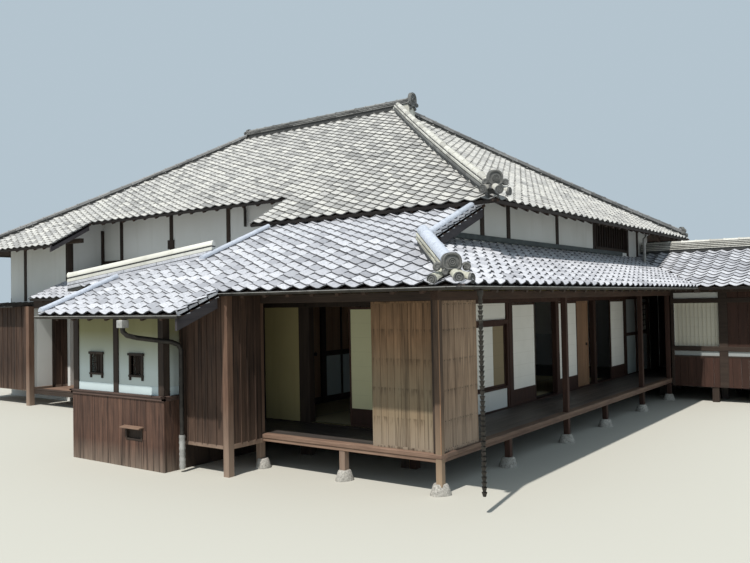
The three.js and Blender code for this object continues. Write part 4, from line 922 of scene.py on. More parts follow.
add("plastered_ridge_bed", carried(path, band(0.08, 0.08, -0.1, 0.055), plaster_line.across), JOINT_SHADE_TILE)
base = [flat_course(plaster_line, 0.19, -0.06, -0.012), flat_course(plaster_line, 0.186, -0.003, 0.043, shift=0.5)]
add("plastered_ridge_base", together(*base), LOW_TILE)
low_end = plaster_line.points[0] - plaster_line.ahead * 0.01
add("plastered_ridge_ends", together(*[disc(low_end + UP * rise, -plaster_line.ahead, radius)
                                       for rise, radius in ((0.155, 0.056), (0.05, 0.045))]), RIDGE_PLASTER)


# Verges: a round tile course, and the stepped edges of the tiles under it
def verge_edge(name, x, d0, d1, out):
    """The stepped edges: for each course a thin plate hangs outside the verge, its lower end raised by the lap."""
    marks = np.arange(math.ceil(d0 / LOW_COURSE), math.floor(d1 / LOW_COURSE)) * LOW_COURSE
    d = np.stack([marks + 0.004, marks + LOW_COURSE + 0.02], 1)[..., None]
    side = np.array([0, 0.022, 0.022, 0]) * out
    top = np.array([front_slope.lip, 0.0])[:, None] * 1.6 - 0.02
    rise = np.where(np.array([0, 0, 1, 1]), top - 0.085, top)
    points = front_slope.place(x + side, d, rise[None] + 0 * d)
    add(name, skin(points, tones(len(marks), 2, 4)), LOW_TILE)


def verge(name, x, y0, y1, out):
    """A verge at x with its tube inside it, from y0 up to y1; out is +1 or -1, the side of the open air."""
    line = Line([(x - out * 0.075, y, porch_height(y_of(y))) for y in (y0, y1)])
    add(name + "_tube", round_course(line, 0.052, 0.012, pitch=0.42, lip=0.004), ROUND_TILE, name)
    verge_edge(name + "_edge", x - out * 0.022, y_of(y0) - 0.02, y_of(y1) + 0.2, out)


verge("right_verge", VERGE_X, 0.88, MAIN["front"] + 0.05, 1)
verge("upper_left_verge", FRONT_LEFT_X, 0.5, MAIN["front"] - 0.02, -1)
verge("lower_left_verge", PORCH["left"], PORCH["front"] + 0.02, -0.11, -1)
verge_edge("porch_verge_edge", PORCH["right"] - 0.022, 0.0, y_of(-LOW["edge"]) + 0.1, 1)


# Timber, boards and plaster
def low_top(x):
    """The top of the right lower roof, and of the front one with -y for x."""
    return low_height(LOW["edge"] - x)


CLEARANCE = 0.004


def low_under(y):
    """Just under the front lower roof's boards."""
    return low_top(-y) - ROOF - CLEARANCE


def main_under(d):
    """The underside of the main roof's boards."""
    return main_height(d) - ROOF


def slabs(axis, v0, v1, *spans):
    """Boxes of one thickness, v0 to v1 across the axis: a span is u0, u1 along it and then z0, z1."""
    return [[u0, u1, v0, v1, z0, z1] if axis == 0 else [v0, v1, u0, u1, z0, z1] for u0, u1, z0, z1 in spans]


def rim(axis, v0, v1, low, high, z0, z1, stile, foot, head):
    """A frame: two stiles, and a foot rail and a head rail between them."""
    inner = (low + stile, high - stile)
    return slabs(axis, v0, v1, (low, inner[0], z0, z1), (inner[1], high, z0, z1), (*inner, z0, z0 + foot),
                 (*inner, z1 - head, z1))


def layer(face, out, inside, outside):
    """Both sides of a layer on a wall's face, from so far inside it to so far outside it."""
    return sorted((face - out * inside, face + out * outside))


def timber(name, boxes, finish=DARK_WOOD, replaces=None, body="house", chamfer=0.005):
    """Square-cut timbers as one piece."""
    add(name, blocks(boxes, chamfer), finish, replaces, body)


def board_wall(axis, low, high, v0, v1, z0, z1, width=0.15, batten=0.0, out=1):
    """Upright boards along a wall, with a thin batten over each joint where there is one."""
    first = slabs(axis, v0, v1, (low, high, z0, z1))[0]
    made = planks(first[0::2], first[1::2], axis, 1 - axis, width)
    if not batten:
        return made
    over = layer(v1 if out > 0 else v0, out, 0.002, 0.012)
    strips = slabs(axis, *over, *[(joint - batten / 2, joint + batten / 2, z0, z1) for joint in made[1:, 2 * axis]])
    return np.concatenate([made, np.reshape(strips, (-1, 6))])


def stud_row(axis, spots, face, out, tops, foot):
    """Studs on a wall's face, each from the foot to its top."""
    tops = np.broadcast_to(tops, len(spots))
    spans = [(s - 0.058, s + 0.058, foot, top) for s, top in zip(spots, tops)]
    return slabs(axis, *layer(face, out, 0.01, 0.016), *spans)


WINDOW_FRAME = 0.06
WINDOW_PITCH = 0.1


def barred_window(name, axis, low, high, face, out, z0, z1, rail):
    """A window: a frame in the wall's opening, upright bars and one rail in it, and a paper panel behind them."""
    inner = (low + WINDOW_FRAME, high - WINDOW_FRAME)
    spots = np.linspace(*inner, max(2, round((inner[1] - inner[0]) / WINDOW_PITCH)) + 1)[1:-1]
    timber(name + "_frame",
           slabs(axis, *layer(face, out, 0.09, 0.022), (low, inner[0], z0, z1), (inner[1], high, z0, z1))
           + slabs(axis, *layer(face, out, 0.02, 0.03), (low - 0.05, high + 0.05, z1 - 0.03, z1 + 0.04))
           + slabs(axis, *layer(face, out, 0.02, 0.04), (low - 0.03, high + 0.03, z0 - 0.035, z0 + 0.02))
           + slabs(axis, *layer(face, out, 0.035, -0.01), *[(s - 0.011, s + 0.011, z0, z1) for s in spots])
           + slabs(axis, *layer(face, out, 0.05, -0.035), (low, high, rail - 0.012, rail + 0.012)))
    panel = (low + 0.02, high - 0.02, z0 + 0.01, z1 - 0.01)
    timber(name + "_paper", slabs(axis, *layer(face, out, 0.066, -0.062), panel), PAPER, chamfer=0.001)


dress(WHITE_PLASTER, "upper_right_wall", "upper_front_wall", "upper_middle_wall", "left_wing_wall", "left_wall",
      "back_wall", "entry_wall", "wing_front_wall", "wing_back_wall")
dress(BATH_PLASTER, "bath_front_wall", "bath_right_wall")
dress(OCHRE_PLASTER, "inner_front_wall")
dress(FLOOR_Y, "room_floor")
dress(DARK_WOOD, "upper_lattice_window")
dress(BARGE_WOOD, "right_barge_board", "left_barge_board")
dress(FLOOR_X, "wing_floor")

# Upper walls: studs, and a plate under the boards of the roof, which is dark also as painted shade of the eave at the
# top of each wall
top = main_under(MAIN["right"] - INNER)
foot = low_top(INNER) + 0.005
timber("upper_right_studs", stud_row(1, (3.0, 3.9, 5.9, 7.8, 9.9, 10.6), INNER, 1, top - 0.005, foot)
       + slabs(1, INNER - 0.01, INNER + 0.02, (2.82, 11.35, top - 0.075, top - 0.006)))
timber("upper_right_flashing", slabs(1, INNER - 0.002, INNER + 0.05, (1.2, 9.42, foot - 0.01, foot + 0.07)),
       GREEN_METAL)
timber("upper_right_window_frame",
       slabs(1, INNER - 0.08, INNER + 0.03, (7.83, 9.87, 3.49, 3.55), (7.83, 9.87, 2.82, 2.875))
       + slabs(1, INNER - 0.08, INNER + 0.025, (7.82, 7.88, 2.87, 3.5), (9.82, 9.88, 2.87, 3.5)))

face = MIDDLE_FRONT
top = main_under(face - MAIN["front"])
foot = lean_height(lean_depth) + 0.005
timber("upper_middle_studs", stud_row(0, (-11.24, -9.4, -7.54, -5.7), face, -1, top - 0.006, foot)
       + slabs(0, face - 0.04, face, (-9.5, -9.3, 3.12, 3.32))
       + slabs(0, face - 0.02, face + 0.01, (WING_SIDE + 0.02, -4.48, top - 0.08, top - 0.006))
       + slabs(0, face - 0.03, face + 0.01, (WING_SIDE + 0.02, -5.0, foot - 0.02, foot + 0.05)))
timber("upper_side_studs",
       slabs(1, FRONT_LEFT_X + 0.045, FRONT_LEFT_X + 0.07, (2.88, 2.99, 3.3, 3.68), (3.8, 3.9, 3.3, 4.2)))

face = HOUSE["front"]
top = main_under(face - MAIN["front"])
foot = bay_height(face - BAY_ROOF["front"]) + 0.01
timber("left_wing_studs", stud_row(0, (-12.02, -13.86), face, -1, top - 0.006, foot)
       + slabs(0, face - 0.02, face + 0.01, (-14.2, WING_SIDE + 0.02, top - 0.08, top - 0.006))
       + slabs(1, -11.96, -11.934, (2.93, 3.04, 2.1, 3.68), (3.8, 3.89, 2.1, 3.7)))

# Unseen sides: studs and a plate on plaster over a board dado, and barred windows
DADO_HIGH = 0.72
CAP_HIGH = DADO_HIGH + 0.04
left, back, wing_right, wing_back_y = HOUSE["left"], HOUSE["back"], WING["right"], WING["back"]
dado = [board_wall(axis, low, high, *layer(face, out, 0.0, 0.022), GROUND, DADO_HIGH, 0.18, 0.03, out)
        for axis, low, high, face, out in (
            (1, 2.94, back, left, -1), (0, -14.57, -1.14, back, 1), (0, -1.12, 1.86, wing_back_y, 1),
            (1, WING["front"], wing_back_y, wing_right, 1), (1, back + 0.02, wing_back_y, -1.12, -1))]
timber("outer_dado", np.concatenate(dado), BROWN_BOARD)
left_top = main_under(left - MAIN["left"])
back_top = main_under(MAIN["back"] - back)
wing_top = low_height(LOW["edge"]) - ROOF
timber("outer_studs",
       stud_row(1, (3.0, 4.9, 6.81, 8.72, 10.63, 11.34), left, -1, left_top - 0.006, DADO_HIGH)
       + stud_row(0, (-14.49, -12.8, -10.9, -8.98, -7.08, -5.16, -3.26, -1.2), back, 1,
                  [left_top - 0.07] + [back_top - 0.006] * 7, DADO_HIGH)
       + stud_row(0, (-0.1, 0.9, 1.78), wing_back_y, 1, wing_top - 0.006, DADO_HIGH)
       + stud_row(1, (9.62, 10.85, 12.13), wing_right, 1, [wing_top - 0.01, wing_top + 0.5, wing_top - 0.01], DADO_HIGH)
       + slabs(1, left - 0.02, left + 0.01, (2.94, back, 1.98, 2.1))
       + slabs(0, back - 0.01, back + 0.02, (-14.5, INNER, 1.98, 2.1))
       + slabs(1, left - 0.02, left + 0.01, (2.94, back, left_top - 0.1, left_top - 0.006))
       + slabs(0, back - 0.01, back + 0.02, (-14.2, -1.2, back_top - 0.1, back_top - 0.006))
       + slabs(1, left - 0.045, left, (2.94, 11.43, DADO_HIGH, CAP_HIGH))
       + slabs(0, back, back + 0.045, (-14.6, -1.14, DADO_HIGH, CAP_HIGH))
       + slabs(0, wing_back_y, wing_back_y + 0.045, (-1.12, 1.885, DADO_HIGH, CAP_HIGH))
       + slabs(1, wing_right, wing_right + 0.045, (9.48, 12.2, DADO_HIGH, CAP_HIGH)))
for k, y in enumerate((5.0, 8.82)):
    barred_window("left_window_" + str(k + 1), 1, y, y + 1.7, left, -1, 0.9, HEAD, 1.34)
for k, x in enumerate((-12.7, -8.88, -5.06)):
    barred_window("back_window_" + str(k + 1), 0, x, x + 1.7, back, 1, 0.9, HEAD, 1.34)

# Bath house
face, side = BATH["front"], BATH["right"]
top = low_under(face - 0.016)
timber("bath_posts", slabs(0, face - 0.02, face + 0.02, (-5.8, -5.69, DADO_TOP, top), (-4.845, -4.735, DADO_TOP, top))
       + slabs(0, face - 0.02, face + 0.09, (-3.86, -3.745, DADO_TOP, top), (-5.815, -5.79, DADO_TOP, top))
       + slabs(0, face - 0.018, face + 0.02, (-5.8, -3.745, top - 0.1, top)))
dado_front = board_wall(0, -5.825, -3.735, face - 0.025, face - 0.001, GROUND, 0.6, 0.125)
dado_sides = [
    board_wall(1, face - 0.025, CLOSET["front"], side + 0.001, side + 0.025, GROUND, 0.6, 0.12),
    board_wall(1, face - 0.025, 1.9, BATH["left"] - 0.025, BATH["left"] - 0.001, GROUND, 0.6, 0.14)]
# The boards that the hatch cuts are divided into what is above, beneath and beside it
hatch_left, hatch_right, hatch_foot, hatch_head = HATCH = (-4.53, -4.21, 0.03, 0.15)
cut = (dado_front[:, 1] > hatch_left) & (dado_front[:, 0] < hatch_right)
above, beneath = dado_front[cut].copy(), dado_front[cut].copy()
above[:, 4], beneath[:, 5] = hatch_head, hatch_foot
first, last = dado_front[cut][:1].copy(), dado_front[cut][-1:].copy()
first[:, 1], first[:, 4:] = hatch_left, HATCH[2:]
last[:, 0], last[:, 4:] = hatch_right, HATCH[2:]
beside = [part for part in (first, last) if part[0, 1] - part[0, 0] > 0.01]
timber("bath_dado_boards", np.concatenate([dado_front[~cut], above, beneath] + beside + dado_sides), DADO_BOARD,
       "bath_dado", chamfer=0.003)
cap, under = (0.615, 0.64), (0.575, 0.615)
timber("bath_cap_rail", [
    [-5.86, -3.7, face - 0.06, face - 0.012, *cap], [-5.845, -3.715, face - 0.045, face - 0.01, *under],
    [side, -3.7, face - 0.06, CLOSET["front"], *cap], [side, -3.715, face - 0.045, CLOSET["front"], *under],
    [-5.86, -5.8, face - 0.06, 1.9, *cap], [-5.845, -5.8, face - 0.045, 1.9, *under]], CAP_WOOD)
timber("bath_strip", slabs(0, face - 0.005, face, (-5.69, -4.845, DADO_TOP, 0.755), (-4.735, -3.86, DADO_TOP, 0.755))
       + slabs(1, side - 0.001, side + 0.005, (face + 0.09, CLOSET["front"], DADO_TOP, 0.755)),
       PALE_PLASTER, chamfer=0.001)
width, z0, z1 = 0.24, 0.9, 1.165
for k, x0 in enumerate((-5.37, -4.456)):
    x1 = x0 + width
    sides = [(x - 0.03, x, z0 - 0.075, z1 + 0.02) for x in (x0, x1 + 0.03)]
    bars = [(s - 0.006, s + 0.006, z0, z1) for s in np.linspace(x0, x1, 6)[1:-1]]
    timber("bath_window_" + str(k + 1), slabs(0, face - 0.022, face + 0.05, *sides)
           + slabs(0, face - 0.03, face + 0.05, (x0 - 0.05, x1 + 0.05, z1, z1 + 0.035))
           + slabs(0, face - 0.028, face + 0.05, (x0 - 0.035, x1 + 0.035, z0 - 0.03, z0))
           + slabs(0, face + 0.005, face + 0.018, *bars)
           + slabs(0, face + 0.018, face + 0.026, (x0, x1, 1.03, 1.042)), chamfer=0.002)
    timber("bath_window_board_" + str(k + 1), slabs(0, face + 0.06, face + 0.068, (x0, x1, z0, z1)), chamfer=0.001)
hood = [(face - 0.025, 0.19), (face - 0.115, 0.178), (face - 0.115, 0.192), (face - 0.025, 0.206)]
hood = [[(x, y, z) for y, z in hood] for x in (hatch_left - 0.05, hatch_right + 0.05)]
add("hatch_hood", skin(np.array([hood])), SILL_X)
timber("hatch_frame", slabs(0, -0.9, -0.84, (hatch_left - 0.02, hatch_left + 0.005, hatch_foot - 0.02, 0.195),
                            (hatch_right - 0.005, hatch_right + 0.02, hatch_foot - 0.02, 0.195))
       + slabs(0, -0.895, -0.84, (hatch_left, hatch_right, hatch_foot - 0.025, hatch_foot + 0.002))
       + slabs(0, -0.862, -0.852, (hatch_left, hatch_right, hatch_foot, hatch_head)))

# Plank closet
cx, cy = CLOSET["right"], CLOSET["front"]
top = low_under(cy)
closet = [board_wall(0, side + 0.03, cx - 0.09, cy, cy + 0.022, 0.03, top, 0.15, 0.022, -1),
          board_wall(1, cy + 0.09, -0.001, cx - 0.022, cx, 0.03, top, 0.13, 0.022, 1)]
timber("closet_boards", np.concatenate(closet), BROWN_BOARD, "plank_closet", chamfer=0.003)
timber("closet_frame", [
    [cx - 0.1, cx, cy, cy + 0.1, GROUND, top], [side + 0.025, cx - 0.1, cy, cy + 0.05, -0.02, 0.045],
    [cx - 0.05, cx, cy + 0.1, -0.002, -0.02, 0.045], [side + 0.025, cx - 0.1, cy + 0.022, cy + 0.06, 1.0, 1.06],
    [cx - 0.06, cx - 0.022, cy + 0.1, 0, 1.0, 1.06], [side + 0.026, cx - 0.05, cy + 0.05, -0.004, 0.0, 0.03]],
       CLOSET_WOOD)
steps = [(y, y + 0.1, top - 0.01, low_under(y)) for y in np.arange(cy, -0.1, 0.1)]
timber("closet_gable", slabs(1, cx - 0.03, cx, *steps), BROWN_BOARD)
# Dark boards under the closet: painted shade beneath it
timber("closet_shade_boards", board_wall(1, cy + 0.1, 0.9, side + 0.001, side + 0.016, GROUND, -0.03, 0.2))

# Veranda frame: posts on stones, a stepped sill, lintel, eave beam, and pale panels between the two
top = low_top(0) - ROOF - 0.06
back = WING["front"]
lintel, beam, panel = (LINTEL, LINTEL + 0.105), (top - 0.08, top), (1.95, top + 0.055)
sill, under_sill = (0.045, SILL_TOP), (0.0, 0.044)
post_spots, foot_spots = (3.8, 7.55, back - POST / 2), (1.8, 5.5)
timber("right_posts", slabs(1, -0.102, -0.018, *[(y - 0.039, y + 0.039, GROUND + 0.1, top + 0.05) for y in post_spots])
       + slabs(1, -0.1, -0.02, *[(y - 0.04, y + 0.04, GROUND + 0.1, 0.01) for y in foot_spots]), DARK_RED,
       "right_veranda_frame")
timber("right_lintel", [[-0.105, -0.004, 0.0, back, *lintel], [-0.1, -0.01, 0.0, back, *beam]], DARK_BEAM_Y)
timber("right_lintel_panel", [[-0.07, -0.05, 0.1, back - 0.1, *panel]], OCHRE_PLASTER)
timber("right_sill", [[-POST, 0.0, 0.131, back, *sill], [-0.12, -0.012, 0.121, back, *under_sill]], SILL_Y)
timber("front_posts", [[-2.94, -2.85, 0.01, 0.1, GROUND + 0.02, top + 0.05],
                       [-1.505, -1.415, 0.02, 0.11, GROUND + 0.1, 0.01]], CLOSET_WOOD, "front_veranda_frame")
timber("corner_post", [[-0.085, -0.005, 0.005, 0.085, GROUND + 0.1, top + 0.04]], CORNER_WOOD)
timber("corner_post_edge", [[-0.013, -0.003, 0.003, 0.013, SILL_TOP, LINTEL]], DOOR_BOARD,
       chamfer=0.002)
# Dark strips beside the corner post: painted shade in the gaps there
timber("corner_shade_strips", [[-0.128, -0.085, 0.03, 0.07, 0.1, LINTEL], [-0.07, -0.03, 0.085, 0.128, 0.1, LINTEL]])
timber("front_lintel", [[side, -0.012, 0.001, 0.105, *lintel], [side, -0.012, 0.01, 0.1, *beam]], DARK_BEAM_X)
timber("front_lintel_panel", [[side + 0.1, -0.1, 0.05, 0.07, *panel]], OCHRE_PLASTER)
timber("front_sill", [[side, 0.0, 0.0, POST, *sill], [side, -0.012, 0.012, 0.12, *under_sill]], SILL_X)


STONE_RINGS = np.array([(0.05, 0.0), (1.0, 0.0), (1.0, 0.02), (0.85, 0.07), (0.7, 0.12), (0.6, 0.13), (0.05, 0.13)])


def foot_stone(x, y):
    """A foot stone: rings that shrink upwards, moved in and out by two sines of the angle round it."""
    turn = circle(18)
    uneven = 1 + 0.09 * np.sin(2 * turn + x) + 0.06 * np.sin(3 * turn + 2.3 * y)
    rings = 0.115 * STONE_RINGS[:, :1] * uneven
    z = np.broadcast_to(GROUND + STONE_RINGS[:, 1:], rings.shape)
    return skin(np.stack([x + rings * np.cos(turn), y + rings * np.sin(turn), z], -1)[None])


stones = [(-POST / 2, y) for y in (POST / 2, *post_spots, *foot_spots)] + [(-1.46, 0.065), (-2.865, 0.065)]
add("foot_stones", together(*[foot_stone(x, y) for x, y in stones]), STONE)

# Floors
floor_z = (0.06, SILL_TOP - 0.002)
front_floor = planks((side + 0.001, POST, floor_z[0]), (-POST, INNER_FRONT, floor_z[1]), 1, 2, 0.13, 0.002, 0.002)
right_floor = planks((INNER, INNER_FRONT, floor_z[0]), (-POST, back, floor_z[1]), 0, 2, 0.13, 0.002, 0.002)
timber("veranda_front_boards", front_floor, FLOOR_X, "veranda_floor", chamfer=0.002)
timber("veranda_right_boards", right_floor, FLOOR_Y, chamfer=0.002)
timber("floor_mats", [[x, x + 0.93, y, y + 1.86, FLOOR_TOP - 0.003, FLOOR_TOP + 0.0005]
                      for x in (-4.05, -3.1, -2.15) for y in (1.14, 3.02, 4.9, 6.78)], RUSH_MAT, chamfer=0.0005)

# Inner right wall
x0, x1 = INNER - 0.1, INNER
timber("inner_right_frame",
       slabs(1, x0, x1, *[(y - 0.06, y + 0.06, GROUND, WALL_HEAD) for y in POST_Y])
       + [[x0 - 0.004, x1 + 0.004, 1.024, 11.396, -0.02, 0.1], [x0 - 0.004, x1 + 0.012, 1.024, 11.396, HEAD, LINTEL],
          [x0 + 0.01, x1 - 0.01, INNER_FRONT, 11.4, LINTEL, WALL_HEAD],
          [x0 - 0.002, x1 + 0.002, 1.026, 11.394, 0.1, FLOOR_TOP]]
       + slabs(1, x0 + 0.01, x1 - 0.005, (1.14, 3.85, 0.42, 0.455), (1.14, 3.85, 1.45, 1.52),
               (1.98, 2.05, FLOOR_TOP, HEAD))
       + slabs(1, x0 + 0.02, x1 - 0.01, (3.8, 3.85, FLOOR_TOP, HEAD), (9.71, 11.28, 0.96, 1.03),
               (10.42, 10.48, FLOOR_TOP, HEAD), (10.72, 10.78, FLOOR_TOP, HEAD), (10.78, 11.28, 1.65, 1.7)),
       DARK_RED, "inner_right_wall")
plaster = (1, x0 + 0.04, x1 - 0.035)
timber("inner_right_panels", slabs(*plaster, (1.14, 3.8, FLOOR_TOP, 0.425), (1.14, 1.98, 0.455, 1.45)), WHITE_PLASTER)
timber("inner_right_transom", slabs(1, x0 + 0.055, x1 - 0.04, (1.14, 3.8, 1.515, 1.785)), PAPER, chamfer=0.001)
timber("inner_right_grey_panels", slabs(*plaster, (9.7, 10.43, 1.02, 1.785), (10.47, 11.28, 1.69, 1.785),
                                        (10.47, 10.73, FLOOR_TOP, 1.7)), GREY_PLASTER)
timber("inner_right_low_panel", slabs(*plaster, (9.7, 10.43, FLOOR_TOP, 0.97), (10.77, 11.28, FLOOR_TOP, 0.97)),
       BATH_PLASTER)
z0, z1 = 0.451, 1.449
timber("window_screen_frames", rim(1, x1 - 0.055, x1 - 0.03, 2.05, 2.96, z0, z1, 0.03, 0.034, 0.034)
       + slabs(1, x1 - 0.08, x1 - 0.056, (2.93, 2.965, z0, z1), (3.77, 3.8, z0, z1), (2.96, 3.77, z0, z0 + 0.034),
               (2.96, 3.77, z1 - 0.034, z1)), DARK_RED, "window_screens", chamfer=0.002)
timber("window_screen_papers", slabs(1, x1 - 0.046, x1 - 0.043, (2.07, 2.94, 0.48, 1.42))
       + slabs(1, x1 - 0.07, x1 - 0.067, (2.95, 3.4, 0.48, 1.42)), PAPER, chamfer=0.0005)
# The strip beside the far screen is paper in painted shade
timber("window_screen_side", slabs(1, x1 - 0.07, x1 - 0.067, (3.4, 3.78, 0.48, 1.42)), SHADED_PAPER, chamfer=0.0005)
timber("last_window_lattice",
       slabs(1, x1 - 0.05, x1 - 0.042, *[(y - 0.006, y + 0.006, 1.03, 1.65) for y in np.linspace(10.786, 11.274, 4)])
       + slabs(1, x1 - 0.05, x1 - 0.044, *[(10.78, 11.28, z - 0.006, z + 0.006) for z in np.linspace(1.036, 1.644, 6)]),
       chamfer=0.002)
timber("last_window_paper", slabs(1, x1 - 0.056, x1 - 0.052, (10.78, 11.28, 1.03, 1.65)), PAPER, chamfer=0.0005)

# Inner front wall and the partition of the room
y0, y1 = INNER_FRONT, INNER_FRONT + 0.1
timber("inner_front_posts", [
    [-4.56, -4.44, y0 - 0.012, y1, GROUND, 2.0], [-3.03, -2.83, y0 - 0.012, y1 + 0.01, GROUND, 2.0],
    [-1.19, -1.12, y0 - 0.01, y1 + 0.01, 0.0, 2.0], [-1.25, -1.12, y0 - 0.006, y0 - 0.001, GROUND + 0.002, 0.05],
    [-4.555, -1.125, y0 - 0.016, y1 + 0.014, HEAD, 1.86], [-3.76, -1.125, y0 - 0.016, y1 + 0.014, 0.05, FLOOR_TOP],
    [-3.76, -3.72, y0 - 0.014, y0, 0.1, 1.8]])
x0, x1 = PARTITION_X, PARTITION_X + 0.06
timber("partition_frame",
       slabs(1, x0 - 0.02, x1 + 0.02, *[(y - 0.06, y + 0.06, FLOOR_TOP, WALL_HEAD) for y in (1.18, 2.4, 2.9, 3.93)])
       + slabs(1, x0, x1, (1.12, 3.99, FLOOR_TOP, 0.2), (1.12, 3.99, HEAD, WALL_HEAD))
       + slabs(1, x0 + 0.005, x1 - 0.005, (2.96, 3.87, 0.9, 0.99), (3.4, 3.45, 0.2, HEAD)), replaces="room_partition")
boards = [board_wall(1, 1.24, 2.84, x0 + 0.018, x1 - 0.018, 0.19, 1.79, 0.3),
          board_wall(1, 2.95, 3.88, x0 + 0.018, x1 - 0.018, 0.98, 1.79, 0.225, 0.02)]
timber("partition_boards", np.concatenate(boards), DOOR_BOARD)
timber("partition_low_panel", slabs(1, x0 + 0.02, x1 - 0.02, (2.95, 3.88, 0.19, 0.91)), BATH_PLASTER)
add("partition_pull", disc((x1 - 0.015, 2.7, 0.95), (1, 0, 0), 0.03), COPPER)


# Sliding pieces, each on its own body
SLIDE_FOOT, SLIDE_HEAD = 0.1105, 1.775


def paper_screen(name, axis, low, high, v0, v1, out, paper=PAPER):
    """A paper screen: a frame, paper set just inside its outer face, a fine lattice behind the paper, and a board
    below."""
    outer = v1 if out > 0 else v0
    foot, top = SLIDE_FOOT + 0.25, SLIDE_HEAD - 0.03
    timber(name + "_frame", rim(axis, v0, v1, low, high, SLIDE_FOOT, SLIDE_HEAD, 0.032, 0.04, 0.035)
           + slabs(axis, v0, v1, (low + 0.032, high - 0.032, foot - 0.03, foot)), DARK_RED, name, name, chamfer=0.003)
    low, high = low + 0.03, high - 0.03
    timber(name + "_paper", slabs(axis, *layer(outer, out, 0.0075, -0.005), (low, high, foot - 0.005, top)), paper,
           body=name, chamfer=0.0005)
    bars = [(s - 0.004, s + 0.004, foot, top) for s in np.linspace(low + 0.002, high - 0.002, 5)[1:-1]]
    bars += [(low, high, z - 0.004, z + 0.004) for z in np.linspace(foot, SLIDE_HEAD - 0.035, 9)[1:-1]]
    timber(name + "_lattice", slabs(axis, *layer(outer, out, 0.02, -0.008), *bars), DARK_RED, body=name, chamfer=0.001)
    boards = board_wall(axis, low, high, *layer(outer, out, 0.017, -0.007), SLIDE_FOOT + 0.035, foot - 0.025, 0.42)
    timber(name + "_base", boards, DARK_RED, body=name, chamfer=0.002)


paper_screen("right_screen_near", 1, 3.985, 4.88, -1.065, -1.035, 1)
paper_screen("right_screen_middle", 1, 5.905, 6.8, -1.065, -1.035, 1)
paper_screen("right_screen_far", 1, 8.69, 9.575, -1.065, -1.035, 1)
paper_screen("front_screen", 0, -2.11, -1.215, 1.035, 1.065, -1, SHADE_TINTED_PAPER)
name = "right_board_door"
boards = board_wall(1, 6.65, 7.46, -1.094, -1.08, 0.14, 1.745, 0.27)
timber(name + "_boards", boards, DOOR_BOARD, name, name, chamfer=0.002)
timber(name + "_frame", rim(1, -1.102, -1.072, 6.62, 7.49, SLIDE_FOOT, SLIDE_HEAD, 0.035, 0.0395, 0.04), DOOR_BOARD,
       body=name, chamfer=0.003)
add(name + "_pull", disc((-1.078, 7.38, 0.92), (1, 0, 0), 0.028), COPPER, body=name)

NAIL = [(0.0006, 0.003), (0.0048, 0.002), (0.006, -0.001), (0.0006, -0.001)]
SHUTTER_RAILS = (0.45, 0.8, 1.15, 1.5)


def shutter(name, axis, low, high, inner, outer, finish, count):
    """A rain shutter: upright boards in a thin frame, nailed to it and to rails behind them with low, round heads."""
    out = 1 if outer > inner else -1
    z0, z1 = SILL_TOP + 0.0005, LINTEL - 0.005
    made = board_wall(axis, low + 0.022, high - 0.022, *layer(outer, out, 0.014, -0.002), z0 + 0.03, z1 - 0.022,
                      (high - low - 0.044) / count)
    timber(name + "_boards", made, finish, name, name, chamfer=0.002)
    rails = [(low + 0.024, high - 0.024, z - 0.02, z + 0.02) for z in SHUTTER_RAILS]
    timber(name + "_frame", rim(axis, *sorted((inner, outer)), low, high, z0, z1, 0.024, 0.032, 0.024)
           + slabs(axis, *sorted((outer - out * 0.014, inner + out * 0.002)), *rails), finish, body=name, chamfer=0.002)
    joints = np.concatenate([made[:, 2 * axis] + 0.02, made[:, 2 * axis + 1] - 0.02])
    heights = (0.13, *SHUTTER_RAILS, 1.8)
    spots = slabs(axis, outer - out * 0.003, outer, *[(s, s, z, z) for s in joints for z in heights])
    facing = np.eye(3)[1 - axis] * out
    add(name + "_nails", together(*[spun(spot[::2], facing, NAIL, 8) for spot in spots]), COPPER, body=name)


shutter("front_shutter", 0, -1.01, -0.135, 0.105, 0.07, SHUTTER_BOARD, 8)
shutter("right_shutter", 1, 0.135, 0.955, -0.075, -0.04, SKY_LIT_BOARD, 6)


# Gutters, pipes and the rain chain
def half_ring(radius, thick, steps=12):
    """Half a ring, open above: its outer arc and back along its inner one."""
    turn = np.pi + np.pi * np.linspace(0, 1, steps + 1)
    outer = np.stack([radius * np.cos(turn), radius * np.sin(turn)], 1)
    return np.concatenate([outer, outer[::-1] * (radius - thick) / radius])


GUTTER_RADIUS = 0.034
STRAP_PITCH = 0.62


def gutter(name, start, end):
    """A half-round gutter with rolled rims, closed ends and straps at one pitch."""
    line = Line([start, end])
    across = line.across
    shapes = [carried(line.points, half_ring(GUTTER_RADIUS, 0.003), across)]
    rims = [tube(line.beside(side * (GUTTER_RADIUS - 0.002)).at(np.linspace(0, line.length, 4)), 0.0035, 8)
            for side in (-1, 1)]
    filled = half_ring(GUTTER_RADIUS - 0.001, GUTTER_RADIUS - 0.003, 10)
    shapes += [carried(line.at([t, t + 0.004]), filled, across) for t in (0.0, line.length - 0.004)]
    add(name + "_trough", together(*shapes), COPPER, name)
    add(name + "_rims", together(*rims), GREY_METAL)
    spots = np.arange(0.25, line.length, STRAP_PITCH)
    ring = half_ring(GUTTER_RADIUS + 0.002, 0.003, 10)
    straps = line.at(np.stack([spots - 0.011, spots + 0.011], 1))[:, :, None] + ring[:, :1] * across + ring[:, 1:] * UP
    add(name + "_straps", skin(straps), COPPER)


edge = LOW["edge"]
GUTTER_Z = LOW["eave"] - 0.055
PORCH_Z = low_top(-PORCH["front"]) - 0.055
gutter("right_gutter", (edge, -0.84, GUTTER_Z), (edge, 8.6, GUTTER_Z))
gutter("front_gutter", (-2.78, -edge, GUTTER_Z), (0.74, -edge, GUTTER_Z))
gutter("porch_gutter", (-5.9, PORCH["front"], PORCH_Z), (-2.78, PORCH["front"], PORCH_Z))

